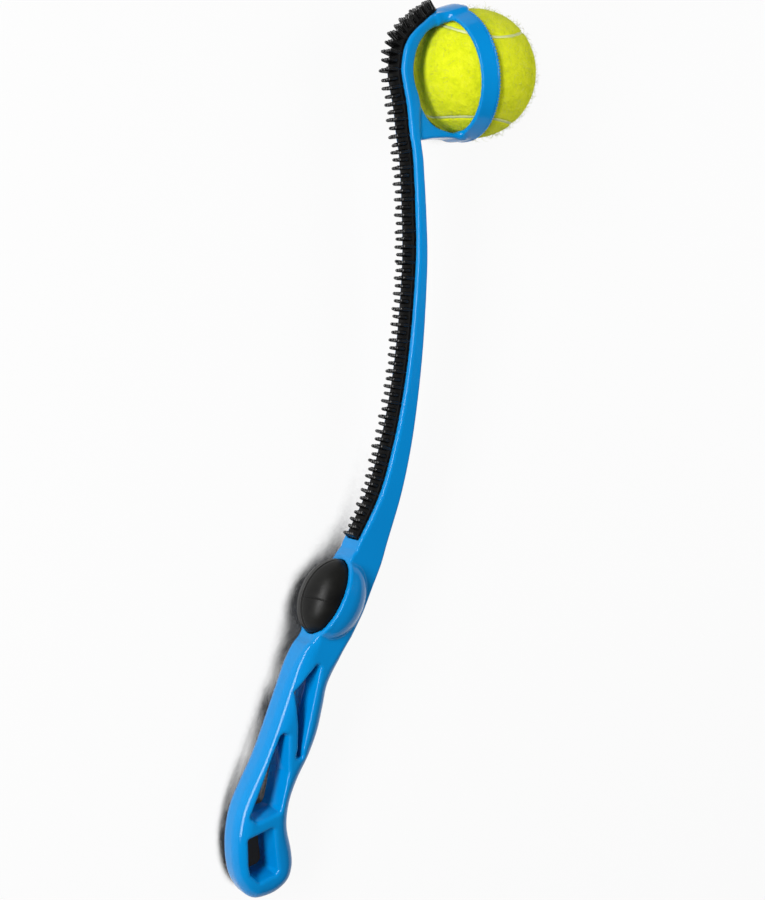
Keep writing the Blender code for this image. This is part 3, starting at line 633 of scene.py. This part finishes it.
class Flat:
    """The outlines' distances on the mid-plane's lattice, read at any points."""

    def __init__(self, xs, ys):
        self.xs, self.ys = xs, ys
        outlines = {
            "spine": spine_outline(), "web": web_outline(), "grip": grip_outline(),
            "flare": scaled(FLARE_SHARES, BALL_RADIUS, BALL_CENTRE),
        }
        for number, shares in enumerate(WINDOW_SHARES):
            outlines[f"window_{number}"] = window_outline(shares)
        x, y = np.meshgrid(xs, ys, indexing="ij")
        self.fields = {name: outline_distance(outline, x, y) for name, outline in outlines.items()}
        self.fields["along"], self.fields["out"] = route_distance(x, y)

    def on_lattice(self):
        return {name: values[:, :, None] for name, values in self.fields.items()}

    def at(self, x, y):
        u, v = (x - self.xs[0]) / STEP, (y - self.ys[0]) / STEP
        i = np.clip(np.floor(u).astype(int), 1, len(self.xs) - 3)
        j = np.clip(np.floor(v).astype(int), 1, len(self.ys) - 3)
        wx, wy = cubic_weights(u - i), cubic_weights(v - j)
        return {
            name: sum(
                wx[a] * wy[b] * values[i + a - 1, j + b - 1] for a in range(4) for b in range(4))
            for name, values in self.fields.items()}


def crossing_points(field, active, corners):
    """The middle of the edge crossings in each active cell, in lattice steps."""
    values = {k: field[active[:, 0] + k[0], active[:, 1] + k[1], active[:, 2] + k[2]] for k in corners}
    total = np.zeros((len(active), 3))
    count = np.zeros(len(active))
    for axis in range(3):
        for k in corners:
            if k[axis]:
                continue
            other = tuple(1 if i == axis else v for i, v in enumerate(k))
            crosses = (values[k] < 0) != (values[other] < 0)
            gap = np.where(crosses, values[k] - values[other], 1)
            point = np.tile(np.array(k, float), (len(active), 1))
            point[:, axis] = values[k] / gap
            total += np.where(crosses[:, None], point, 0)
            count += crosses
    return active + total / count[:, None]


def surface_net(field, axes):
    """Vertices and quads of the field's zero surface, one vertex in each cell that it crosses."""
    inside = field < 0
    cells = np.zeros(tuple(n - 1 for n in field.shape), np.int8)
    corners = [(a, b, c) for a in (0, 1) for b in (0, 1) for c in (0, 1)]
    nx, ny, nz = cells.shape
    for a, b, c in corners:
        cells += inside[a:a + nx, b:b + ny, c:c + nz]
    active = np.argwhere((cells > 0) & (cells < len(corners)))
    places = crossing_points(field, active, corners)
    points = np.stack([axes[i][0] + places[:, i] * STEP for i in range(3)], axis=-1)

    index = np.full(cells.shape, -1, np.int32)
    index[tuple(active.T)] = np.arange(len(active))
    quads = []
    for axis in range(3):
        first = np.take(inside, range(field.shape[axis] - 1), axis)
        second = np.take(inside, range(1, field.shape[axis]), axis)
        edges = np.argwhere(first != second)
        b, c = (axis + 1) % 3, (axis + 2) % 3
        for side in (b, c):
            edges = edges[(edges[:, side] > 0) & (edges[:, side] < field.shape[side] - 1)]
        ring = []
        for db, dc in ((1, 1), (0, 1), (0, 0), (1, 0)):
            cell = edges.copy()
            cell[:, b] -= db
            cell[:, c] -= dc
            ring.append(index[tuple(cell.T)])
        quad = np.stack(ring, axis=-1)
        leaving = first[tuple(edges.T)]
        quads.append(np.where(leaving[:, None], quad, quad[:, ::-1]))
    return points, np.concatenate(quads).tolist()


def slopes(points, read):
    """The field and its gradient at the points."""
    gradient = np.empty(points.shape)
    for axis in range(3):
        step = np.zeros(3)
        step[axis] = PROBE
        gradient[:, axis] = (read(points + step) - read(points - step)) / (2 * PROBE)
    return read(points), gradient


def settled(points, read):
    """The points moved onto the field's zero surface, and the surface's normals there."""
    for _ in range(SETTLE_PASSES):
        value, gradient = slopes(points, read)
        size = np.maximum((gradient**2).sum(axis=1), LEAST_SLOPE)
        shift = gradient * (value / size)[:, None]
        points = points - np.clip(shift, -STEP / 2, STEP / 2)
    return points, unit(slopes(points, read)[1])


# Meshes
def to_frame(points, matrix):
    """The points of the matrix's frame in the frame that all parts share."""
    spin = np.array(matrix.to_3x3())
    return points @ spin.T + np.array(matrix.translation)


def turns(count):
    """Even turns round a circle, from 0."""
    return [2 * pi * i / count for i in range(count)]


def ring_faces(rings, sides, start=0, closed=False, turned=False):
    """Quads from each ring of points to the next, and back to the first where it is closed."""
    faces = []
    for ring in range(rings if closed else rings - 1):
        here = start + ring * sides
        ahead = start + (ring + 1) % rings * sides
        for k in range(sides):
            m = (k + 1) % sides
            quad = (here + k, here + m, ahead + m, ahead + k)
            if turned:
                quad = (here + k, ahead + k, ahead + m, here + m)
            faces.append(quad)
    return faces


def placed(name, data):
    """A new object in the scene for a mesh, a lamp or a camera."""
    made = bpy.data.objects.new(name, data)
    bpy.context.collection.objects.link(made)
    return made


def mesh_piece(name, points, faces, finish, body, normals=None):
    """A smooth mesh object in the shared frame that rides on a body."""
    data = bpy.data.meshes.new(name)
    data.from_pydata(points.tolist(), [], faces)
    data.update()
    data.shade_smooth()
    if normals is not None:
        data.normals_split_custom_set_from_vertices(normals.tolist())
    data.materials.append(finish)
    piece = placed(name, data)
    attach(piece, body)
    return piece


def recalculate(piece):
    """Turn all the piece's faces outward."""
    bm = bmesh.new()
    bm.from_mesh(piece.data)
    bmesh.ops.recalc_face_normals(bm, faces=bm.faces[:])
    bm.to_mesh(piece.data)
    bm.free()


# Blue moulding
def make_moulding(finish):
    """The skin of the handle, the arm and the ball cup, mirrored across the mid-plane."""
    outlines = np.array(spine_outline() + grip_outline())
    cup_half = CUP_FRONT_BORE + CUP_RIM_WALL
    low = outlines.min(axis=0)
    high = outlines.max(axis=0)
    xs = lattice_axis(min(low[0], BALL_CENTRE[0] - cup_half), high[0])
    ys = lattice_axis(low[1], max(high[1], BALL_CENTRE[1]))
    zs = (np.arange(int((cup_half + MARGIN) / STEP)) + 0.5) * STEP
    flat = Flat(xs, ys)
    half = moulding(xs[:, None, None], ys[None, :, None], zs[None, None, :], flat.on_lattice())
    field = np.concatenate((half[:, :, ::-1], half), axis=2)
    points, quads = surface_net(field, (xs, ys, np.concatenate((-zs[::-1], zs))))

    def read(p):
        return moulding(p[:, 0], p[:, 1], p[:, 2], flat.at(p[:, 0], p[:, 1]))

    points, normals = settled(points, read)
    normals = normals @ np.array(MID_PLANE.to_3x3()).T
    piece = mesh_piece("moulding", to_frame(points, MID_PLANE), quads, finish, "thrower", normals)
    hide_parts("handle", "arm", "ball_cup")


def make_teeth(finish):
    """The row of fine teeth round the front edge of the ball cup."""
    inner = CUP_FRONT_BORE + TOOTH_INNER_INSET
    outer = CUP_FRONT_BORE + CUP_RIM_WALL - TOOTH_OUTER_INSET
    low = -CUP_SETBACK - TOOTH_SUNK
    steps = 2 * TEETH
    points = []
    for i, turn in enumerate(turns(steps)):
        top = -CUP_SETBACK + TOOTH_HEIGHT * (i % 2)
        section = (
            (inner, low), (inner, top - TOOTH_BEVEL_HEIGHT), (inner + TOOTH_BEVEL_WIDTH, top),
            (outer - TOOTH_BEVEL_WIDTH, top), (outer, top - TOOTH_BEVEL_HEIGHT), (outer, low),
        )
        points += [(radius * cos(turn), radius * sin(turn), height) for radius, height in section]
    faces = ring_faces(steps, len(section), closed=True)
    mesh_piece("cup_teeth", to_frame(np.array(points), CUP), faces, finish, "thrower")


# Brush strip
def make_strip():
    """The strip's backing, with a small bevel along both edges."""
    even = np.linspace(STRIP_START, STRIP_END - STRIP_TAPER, STRIP_STEPS)
    into = np.sin(np.linspace(*TAPER_SHARES, TAPER_STEPS) * pi / 2)
    places = np.concatenate((even, STRIP_END - STRIP_TAPER * (1 - into)))
    points = []
    for place in places:
        half = float(strip_half_width(place))
        edge = min(STRIP_EDGE, half / 2)
        bevel = STRIP_BEVEL_SHARE * edge
        side = [
            (-half, -STRIP_THICKNESS), (-half, STRIP_PROUD - edge),
            (-half + bevel, STRIP_PROUD - bevel), (-half + edge, STRIP_PROUD),
        ]
        section = side + [(-z, out) for z, out in reversed(side)]
        points += [(*ROUTE.offset(place, out), z) for z, out in section]
    size = len(section)
    faces = ring_faces(len(places), size)
    faces.append(tuple(range(size)))
    faces.append(tuple(reversed(range(size * (len(places) - 1), size * len(places)))))
    return np.array(points), faces


def bristle_length(place, row):
    """Longer up the arm, but short by the bulb, over the hook's top and in every second row."""
    tall = BRISTLE_LENGTH + BRISTLE_EXTRA * (place / ROUTE.length)**2
    tall -= BRISTLE_ROOT_LOSS * (1 - float(eased(place / BRISTLE_ROOT_REACH)))
    return tall - (BRISTLE_TOP_LOSS * (place / STRIP_END)**BRISTLE_TOP_POWER + BRISTLE_SHORT_ROW * (row % 2))


def make_bristles():
    """Tapered bristles with rounded tips, five and four to a row."""
    rows = round((STRIP_END - STRIP_START) / ROW_PITCH)
    pitch = (STRIP_END - STRIP_START) / rows
    random = np.random.default_rng(BRISTLE_SEED)
    points, faces = [], []
    for row in range(rows):
        place = STRIP_START + pitch * (row + 0.5) + ROW_SHIFT
        count = BRISTLES_PER_ROW - row % 2
        apart = 2 * float(strip_half_width(place)) / BRISTLES_PER_ROW
        foot = ROUTE.at(place)
        out = ROUTE.normal(place)
        along = np.array((out[1], -out[0]))
        tall = bristle_length(place, row)
        for i in range(count):
            z = (i - (count - 1) / 2) * apart
            lean = random.normal(0, BRISTLE_LEAN, 2)
            start = len(points)
            for share, wide in BRISTLE_RINGS:
                radius = BRISTLE_BASE / 2 * wide
                shift = lean * share * tall
                centre = foot + out * tall * share + along * shift[0]
                for turn in turns(BRISTLE_SIDES):
                    spot = centre + along * radius * cos(turn)
                    points.append((*spot, z + shift[1] + radius * sin(turn)))
            faces += ring_faces(len(BRISTLE_RINGS), BRISTLE_SIDES, start)
            faces.append(tuple(range(len(points) - BRISTLE_SIDES, len(points))))
            faces.append(tuple(reversed(range(start, start + BRISTLE_SIDES))))
    return np.array(points), faces


def make_brush(finish, bristle_finish):
    """The strip and its bristles in one piece, each with its own finish."""
    strip, strip_faces = make_strip()
    bristles, bristle_faces = make_bristles()
    points = to_frame(np.concatenate((strip, bristles)), MID_PLANE)
    faces = strip_faces + [tuple(i + len(strip) for i in face) for face in bristle_faces]
    piece = mesh_piece("brush", points, faces, finish, "thrower")
    piece.data.materials.append(bristle_finish)
    slots = np.repeat((0, 1), (len(strip_faces), len(bristle_faces))).astype(np.int32)
    piece.data.polygons.foreach_set("material_index", slots)
    recalculate(piece)
    piece.data.set_sharp_from_angle(angle=BRUSH_SHARP_ANGLE)
    slices = [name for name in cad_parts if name.startswith("brush_slice")]
    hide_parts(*slices)


# Squeaker bulb
def dome_loops(rings, half_length, half_width, height):
    """Half length, half width and height of a dome's rings, from its top down."""
    leans = [pi / 2 * ring / rings for ring in range(1, rings + 1)]
    return [(half_length * sin(lean), half_width * sin(lean), height * cos(lean)) for lean in leans]


def bulb_relief(along, across):
    """How far the dome's skin rises on its crest and sinks along its parting line."""
    arc = across - CREST_ACROSS * (1 - (along / CREST_REACH)**2)
    trough = np.exp(-((arc - 2 * CREST_WIDTH) / CREST_WIDTH)**2)
    crest = np.exp(-(arc / CREST_WIDTH)**2) - CREST_TROUGH_SHARE * trough
    line = np.exp(-((along - LINE_ALONG - LINE_LEAN * across) / LINE_WIDTH)**2)
    line *= 1 / (1 + np.exp(-(across - LINE_START) / LINE_WIDTH))
    return CREST_HEIGHT * crest - LINE_DEPTH * line


def make_bulb(finish):
    """The hollow bulb: its dome, the flange under the socket's lip and the inside."""
    half_length, half_width = BULB_LENGTH / 2, BULB_WIDTH / 2
    top = -(SOCKET_LIP + CLEARANCE)
    bottom = top - SOCKET_LIP
    loops = dome_loops(BULB_RINGS, half_length, half_width, BULB_HEIGHT)
    for grow, height in ((0, top), (BULB_FLANGE, top), (BULB_FLANGE, bottom), (-BULB_WALL, bottom)):
        loops.append((half_length + grow, half_width + grow, height))
    inside = dome_loops(
        BULB_INSIDE_RINGS, half_length - BULB_WALL, half_width - BULB_WALL, BULB_HEIGHT - BULB_WALL)
    loops += inside[::-1]
    points, faces = [(0, 0, BULB_HEIGHT)], []
    for along, across, height in loops:
        points += [(along * cos(turn), across * sin(turn), height) for turn in turns(BULB_TURNS)]
    points.append((0, 0, BULB_HEIGHT - BULB_WALL))
    last = 1 + (len(loops) - 1) * BULB_TURNS
    for i in range(BULB_TURNS):
        j = (i + 1) % BULB_TURNS
        faces.append((0, 1 + i, 1 + j))
        faces.append((last + j, last + i, len(points) - 1))
    faces += ring_faces(len(loops), BULB_TURNS, start=1, turned=True)
    places = np.array(points)
    outside = 1 + BULB_RINGS * BULB_TURNS
    places[:outside, 2] += bulb_relief(places[:outside, 0], places[:outside, 1])
    piece = mesh_piece("bulb_skin", to_frame(places, SOCKET), faces, finish, "bulb")
    recalculate(piece)
    piece.data.set_sharp_from_angle(angle=BULB_SHARP_ANGLE)
    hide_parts("squeaker_bulb")


# Ball
def seam_point(turn):
    """A point of the seam on a ball of radius 1."""
    a, b = SEAM_WIDE_SHARE, 1 - SEAM_WIDE_SHARE
    c = 2 * sqrt(a * b)
    x = a * np.cos(turn) + b * np.cos(3 * turn)
    y = a * np.sin(turn) - b * np.sin(3 * turn)
    return np.stack(((x - y) / sqrt(2), c * np.sin(2 * turn), (x + y) / sqrt(2)), axis=-1)


def seam_distance(directions):
    """Distance along the ball from its seam, worked out in batches to save memory."""
    seam = seam_point(np.linspace(0, 2 * pi, SEAM_SAMPLES, endpoint=False))
    nearest = np.empty(len(directions))
    for start in range(0, len(directions), SEAM_BATCH):
        batch = slice(start, start + SEAM_BATCH)
        nearest[batch] = (directions[batch] @ seam.T).max(axis=1)
    return np.arccos(np.clip(nearest, -1, 1)) * BALL_RADIUS


def lumps(directions, scale, seed, waves):
    """A soft random relief, mostly between -1 and 1."""
    random = np.random.default_rng(seed)
    total = np.zeros(len(directions))
    for _ in range(waves):
        axis = random.normal(size=3)
        axis *= scale * random.uniform(*LUMP_SPREAD) / np.linalg.norm(axis)
        total += np.sin(directions @ axis + random.uniform(0, 2 * pi))
    return total / sqrt(waves)


def make_felt(finish):
    """The felt as a lumpy ball with a groove along its seam, from a cube with even faces."""
    bm = bmesh.new()
    bmesh.ops.create_cube(bm, size=1)
    bmesh.ops.subdivide_edges(bm, edges=bm.edges[:], cuts=FELT_CUTS, use_grid_fill=True)
    cube = np.array([v.co[:] for v in bm.verts])
    faces = [tuple(v.index for v in f.verts) for f in bm.faces]
    bm.free()
    directions = unit(np.tan(cube * pi / 2) / 2)
    groove = np.exp(-(seam_distance(directions) / GROOVE_WIDTH)**2)
    radius = BALL_RADIUS - GROOVE_DEPTH * groove - FELT_SINK
    for height, kind in FELT_LUMPS:
        radius = radius + height * lumps(directions, **kind)
    points = directions * radius[:, None]
    piece = mesh_piece("felt", to_frame(points, BALL), faces, finish, "ball")
    recalculate(piece)
    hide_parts("felt_panel_a", "felt_panel_b")


def make_seam(finish):
    """A soft rubber bead along the seam."""
    places = np.linspace(0, 2 * pi, SEAM_STEPS, endpoint=False)
    here = seam_point(places)
    side = unit(np.cross(here, seam_point(places + SEAM_PROBE) - seam_point(places - SEAM_PROBE)))
    half_width = SEAM_WIDTH / 2 * (1 + SEAM_WOBBLE * lumps(here, **SEAM_LUMPS))
    points = []
    for turn in turns(SEAM_SIDES):
        radius = BALL_RADIUS - SEAM_SINK + SEAM_RISE * sin(turn)
        points.append(here * radius + side * (half_width * cos(turn))[:, None])
    points = np.stack(points, axis=1).reshape(-1, 3)
    faces = ring_faces(SEAM_STEPS, SEAM_SIDES, closed=True, turned=True)
    piece = mesh_piece("seam", to_frame(points, BALL), faces, finish, "ball")
    recalculate(piece)
    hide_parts("ball_seam")


def make_fibres(finish, name, count, length, width, seed, curl, rise):
    """Curly fibres of the felt, as thin three-sided tufts. Those that reach the floor are left out."""
    random = np.random.default_rng(seed)
    directions = unit(random.normal(size=(count, 3)))
    directions = directions[seam_distance(directions) > FIBRE_SEAM_GAP]
    count = len(directions)
    side = unit(np.cross(directions, random.normal(size=(count, 3))))
    across = np.cross(directions, side)
    reach = length * random.uniform(*FIBRE_LENGTHS, count)
    bend = random.uniform(-curl, curl, (count, 1))
    lean = random.uniform(*FIBRE_LEANS, (count, 1))
    here = directions * (BALL_RADIUS - FIBRE_ROOT_SINK)
    heading = unit(directions * rise + side * lean)
    rings = []
    for step in range(FIBRE_STEPS):
        wide = width * (1 - FIBRE_TAPER * step / (FIBRE_STEPS - 1))
        for turn in turns(FIBRE_SIDES):
            rings.append(here + (directions * cos(turn) + across * sin(turn)) * wide)
        here = here + heading * (reach / FIBRE_STEPS)[:, None]
        droop = random.uniform(*FIBRE_DROOPS, (count, 1))
        stray = random.normal(0, FIBRE_STRAY, (count, 1))
        heading = unit(heading + (across * bend + directions * droop + side * stray))
    points = to_frame(np.stack(rings, axis=1).reshape(-1, 3), BALL).reshape(count, -1, 3)
    points = points[points[:, :, 2].min(axis=1) > 0]
    faces = []
    for i in range(len(points)):
        faces += ring_faces(FIBRE_STEPS, FIBRE_SIDES, start=i * FIBRE_STEPS * FIBRE_SIDES)
    mesh_piece(name, points.reshape(-1, 3), faces, finish, "ball")


# Materials
def put(node, **values):
    """Set the node's inputs, whose names take an underscore for each space here."""
    for name, value in values.items():
        node.inputs[name.replace("_", " ")].default_value = value


class Shader:
    """A Principled material and short calls for its nodes."""

    def __init__(self, name, colour, roughness, **sockets):
        self.material = bpy.data.materials.new(name)
        self.material.use_nodes = True
        self.nodes = self.material.node_tree.nodes
        self.links = self.material.node_tree.links
        self.surface = self.nodes["Principled BSDF"]
        put(self.surface, Base_Color=(*colour, 1), Roughness=roughness, **sockets)
        self.place = self.nodes.new("ShaderNodeTexCoord").outputs["Object"]

    def noise(self, scale, detail=3, roughness=0.55):
        made = self.nodes.new("ShaderNodeTexNoise")
        put(made, Scale=scale, Detail=detail, Roughness=roughness)
        self.links.new(self.place, made.inputs["Vector"])
        return made.outputs["Fac"]

    def colours(self, factor, stops):
        ramp = self.nodes.new("ShaderNodeValToRGB")
        elements = ramp.color_ramp.elements
        elements[0].position = stops[0][0]
        elements[1].position = stops[-1][0]
        for place, _ in stops[1:-1]:
            elements.new(place)
        for element, (_, colour) in zip(elements, stops):
            element.color = (*colour, 1)
        self.links.new(factor, ramp.inputs["Fac"])
        self.links.new(ramp.outputs["Color"], self.surface.inputs["Base Color"])

    def rough(self, factor, low, high):
        spread = self.nodes.new("ShaderNodeMapRange")
        put(spread, From_Min=NOISE_LOW, From_Max=NOISE_HIGH, To_Min=low, To_Max=high)
        self.links.new(factor, spread.inputs["Value"])
        self.links.new(spread.outputs["Result"], self.surface.inputs["Roughness"])

    def bump(self, factor, distance, strength):
        raised = self.nodes.new("ShaderNodeBump")
        put(raised, Distance=distance, Strength=strength)
        self.links.new(factor, raised.inputs["Height"])
        self.links.new(raised.outputs["Normal"], self.surface.inputs["Normal"])


def blue_plastic():
    shader = Shader("blue_plastic", (0.0, 0.215, 0.55), roughness=0.14, Specular_IOR_Level=0.24)
    shader.colours(shader.noise(scale=18), [(0.3, (0.0, 0.207, 0.54)), (0.7, (0.0, 0.225, 0.57))])
    shader.rough(shader.noise(scale=60, detail=4), low=0.11, high=0.17)
    shader.bump(shader.noise(scale=260, detail=2), distance=0.04 * MM, strength=0.3)
    return shader.material


def strip_rubber():
    shader = Shader("strip_rubber", (0.003, 0.003, 0.003), roughness=0.6, Specular_IOR_Level=0.1)
    shader.colours(shader.noise(scale=300), [(0.35, (0.001, 0.001, 0.001)), (0.7, (0.006, 0.006, 0.006))])
    shader.rough(shader.noise(scale=300), low=0.5, high=0.7)
    shader.bump(shader.noise(scale=900), distance=0.2 * MM, strength=0.6)
    return shader.material


def bristle_rubber():
    shader = Shader("bristle_rubber", (0.003, 0.003, 0.003), roughness=0.26, Specular_IOR_Level=0.75)
    shader.colours(shader.noise(scale=160), [(0.3, (0.002, 0.002, 0.002)), (0.7, (0.005, 0.005, 0.005))])
    shader.rough(shader.noise(scale=300), low=0.20, high=0.32)
    shader.bump(shader.noise(scale=1500), distance=0.08 * MM, strength=0.4)
    return shader.material


def bulb_rubber():
    shader = Shader("bulb_rubber", (0.006, 0.006, 0.006), roughness=0.38, Specular_IOR_Level=0.17)
    patches = shader.noise(scale=70, detail=5)
    shader.colours(patches, [(0.3, (0.004, 0.004, 0.004)), (0.7, (0.009, 0.009, 0.008))])
    shader.rough(shader.noise(scale=140, detail=5), low=0.32, high=0.46)
    shader.bump(shader.noise(scale=500, detail=5), distance=0.1 * MM, strength=0.5)
    return shader.material


def felt():
    shader = Shader("felt", (0.75, 0.84, 0.02), roughness=0.95, Specular_IOR_Level=0.1,
                    Sheen_Weight=0.06, Sheen_Roughness=0.6)
    tufts = shader.noise(scale=230, detail=6, roughness=0.7)
    shader.colours(tufts, [
        (0.28, (0.56, 0.63, 0.006)), (0.5, (0.68, 0.73, 0.008)), (0.75, (0.77, 0.80, 0.03))])
    shader.bump(shader.noise(scale=700, detail=6, roughness=0.75), distance=0.6 * MM, strength=0.9)
    return shader.material


def fibre(name, dark, light):
    shader = Shader(name, light, roughness=0.9, Specular_IOR_Level=0.1, Sheen_Weight=0.05)
    shader.colours(shader.noise(scale=150, detail=4), [(0.3, dark), (0.7, light)])
    return shader.material


def plain_rubber(name, dark, light, roughness):
    shader = Shader(name, light, roughness)
    shader.colours(shader.noise(scale=120, detail=4), [(0.3, dark), (0.7, light)])
    spread = 0.06
    shader.rough(shader.noise(scale=200), low=roughness - spread, high=roughness + spread)
    shader.bump(shader.noise(scale=700, detail=4), distance=0.06 * MM, strength=0.5)
    return shader.material


def seam_rubber():
    return plain_rubber("seam_rubber", dark=(0.50, 0.55, 0.24), light=(0.66, 0.71, 0.36), roughness=0.8)


def core_rubber():
    return plain_rubber("core_rubber", dark=(0.08, 0.08, 0.08), light=(0.12, 0.12, 0.12), roughness=0.8)


def squeaker_plastic():
    return plain_rubber("squeaker_plastic", dark=(0.72, 0.72, 0.70), light=(0.82, 0.82, 0.80), roughness=0.4)


def finish_inside_parts():
    """Finishes for the hidden parts, which keep the CAD's own meshes."""
    core, white = core_rubber(), squeaker_plastic()
    for name, finish in (("ball_core_a", core), ("ball_core_b", core), ("squeaker_housing", white),
                         ("squeaker_cap", white), ("squeaker_reed", white)):
        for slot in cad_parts[name].material_slots:
            slot.material = finish


# Setting
def floor_finish():
    """Glowing white to the camera and in gloss, but darkened by painted shade close under things, and grey
    to other rays.
    """
    finish = bpy.data.materials.new("floor")
    finish.use_nodes = True
    nodes, links = finish.node_tree.nodes, finish.node_tree.links
    surface = nodes["Principled BSDF"]
    put(surface, Base_Color=FLOOR_COLOUR, Roughness=0.9, Specular_IOR_Level=0.1)
    glow = nodes.new("ShaderNodeEmission")
    put(glow, Strength=1.0)
    # Painted shade: ambient occlusion darkens the glow close under the thrower and where the windows show
    # the floor
    shade = nodes.new("ShaderNodeAmbientOcclusion")
    put(shade, Distance=FLOOR_SHADE_REACH)
    clear = nodes.new("ShaderNodeMapRange")
    put(clear, From_Min=FLOOR_DARK_PLACE, From_Max=FLOOR_CLEAR_PLACE, To_Min=FLOOR_DARK)
    links.new(shade.outputs["AO"], clear.inputs["Value"])
    links.new(clear.outputs["Result"], glow.inputs["Color"])
    path = nodes.new("ShaderNodeLightPath")
    seen = path.outputs["Is Camera Ray"]
    for kind in ("Is Glossy Ray", "Is Transmission Ray"):
        either = nodes.new("ShaderNodeMath")
        either.operation = "MAXIMUM"
        links.new(seen, either.inputs[0])
        links.new(path.outputs[kind], either.inputs[1])
        seen = either.outputs[0]
    share = nodes.new("ShaderNodeMath")
    share.operation = "MULTIPLY"
    share.inputs[1].default_value = FLOOR_WHITE_SHARE
    mix = nodes.new("ShaderNodeMixShader")
    links.new(seen, share.inputs[0])
    links.new(share.outputs[0], mix.inputs["Fac"])
    links.new(surface.outputs[0], mix.inputs[1])
    links.new(glow.outputs[0], mix.inputs[2])
    links.new(mix.outputs[0], nodes["Material Output"].inputs["Surface"])
    return finish


def make_floor():
    """A floor that is flat round the thrower and rises to its edges, so that it fills the view."""
    bm = bmesh.new()
    bmesh.ops.create_grid(bm, x_segments=3, y_segments=3, size=FLOOR_REACH)
    for vertex in bm.verts:
        if max(abs(vertex.co.x), abs(vertex.co.y)) > FLOOR_REACH / 2:
            vertex.co.z = FLOOR_RISE
    data = bpy.data.meshes.new("floor")
    bm.to_mesh(data)
    bm.free()
    data.materials.append(floor_finish())
    floor = placed("floor", data)


def make_lamp(name, place, target, size, power, mirrored=False):
    """An area lamp, placed in metres. Gloss shows it only if it is mirrored."""
    data = bpy.data.lights.new(name, "AREA")
    data.shape = "RECTANGLE"
    data.size, data.size_y = size
    data.energy = power
    lamp = placed(name, data)
    lamp.location = place
    lamp.visible_glossy = mirrored
    lamp.rotation_euler = (Vector(target) - Vector(place)).to_track_quat("-Z", "Y").to_euler()


def make_lights():
    world = bpy.data.worlds.new("world")
    bpy.context.scene.world = world
    world.use_nodes = True
    shade = world.node_tree.nodes["Background"]
    put(shade, Color=(1, 1, 1, 1), Strength=WORLD_LIGHT)
    make_lamp("key", place=(-0.10, -0.45, 0.95), target=(-0.05, 0, 0.02), size=(0.8, 0.8), power=0.4)
    make_lamp("side", place=(0.05, -0.85, 0.47), target=(0, 0, 0.02), size=(1.2, 0.22), power=13.6,
              mirrored=True)
    make_lamp("fill", place=(-0.30, 0.45, 0.50), target=(-0.19, 0, 0.03), size=(0.4, 0.4), power=2.6)


def place_camera():
    """The camera of the photo, fitted to the mid-plane."""
    right = Vector((0, cos(CAMERA_LEAN), sin(CAMERA_LEAN)))
    level = cos(CAMERA_TURN)
    ahead = Vector((sin(CAMERA_TURN), sin(CAMERA_LEAN) * level, -cos(CAMERA_LEAN) * level))
    up = right.cross(ahead)
    eye = Vector(CAMERA_TARGET) - ahead * CAMERA_DISTANCE
    data = bpy.data.cameras.new("camera")
    data.sensor_fit = "VERTICAL"
    data.sensor_height = SENSOR_HEIGHT
    data.lens = LENS
    data.clip_start = CAMERA_NEAR
    camera = placed("camera", data)
    turned = Matrix((right, up, -ahead)).transposed().to_4x4()
    camera.matrix_world = MID_PLANE @ Matrix.Translation(eye) @ turned
    bpy.context.scene.camera = camera


def main():
    bpy.context.scene.view_settings.view_transform = "Standard"
    place_camera()
    plastic = blue_plastic()
    make_moulding(plastic)
    make_teeth(plastic)
    make_brush(strip_rubber(), bristle_rubber())
    make_bulb(bulb_rubber())
    make_felt(felt())
    make_seam(seam_rubber())
    make_fibres(fibre("nap", dark=(0.62, 0.71, 0.012), light=(0.80, 0.85, 0.05)), "nap", **NAP)
    loose = fibre("loose_fibres", dark=(0.42, 0.47, 0.10), light=(0.62, 0.67, 0.17))
    make_fibres(loose, "loose_fibres", **LOOSE_FIBRES)
    finish_inside_parts()
    make_floor()
    make_lights()


main()
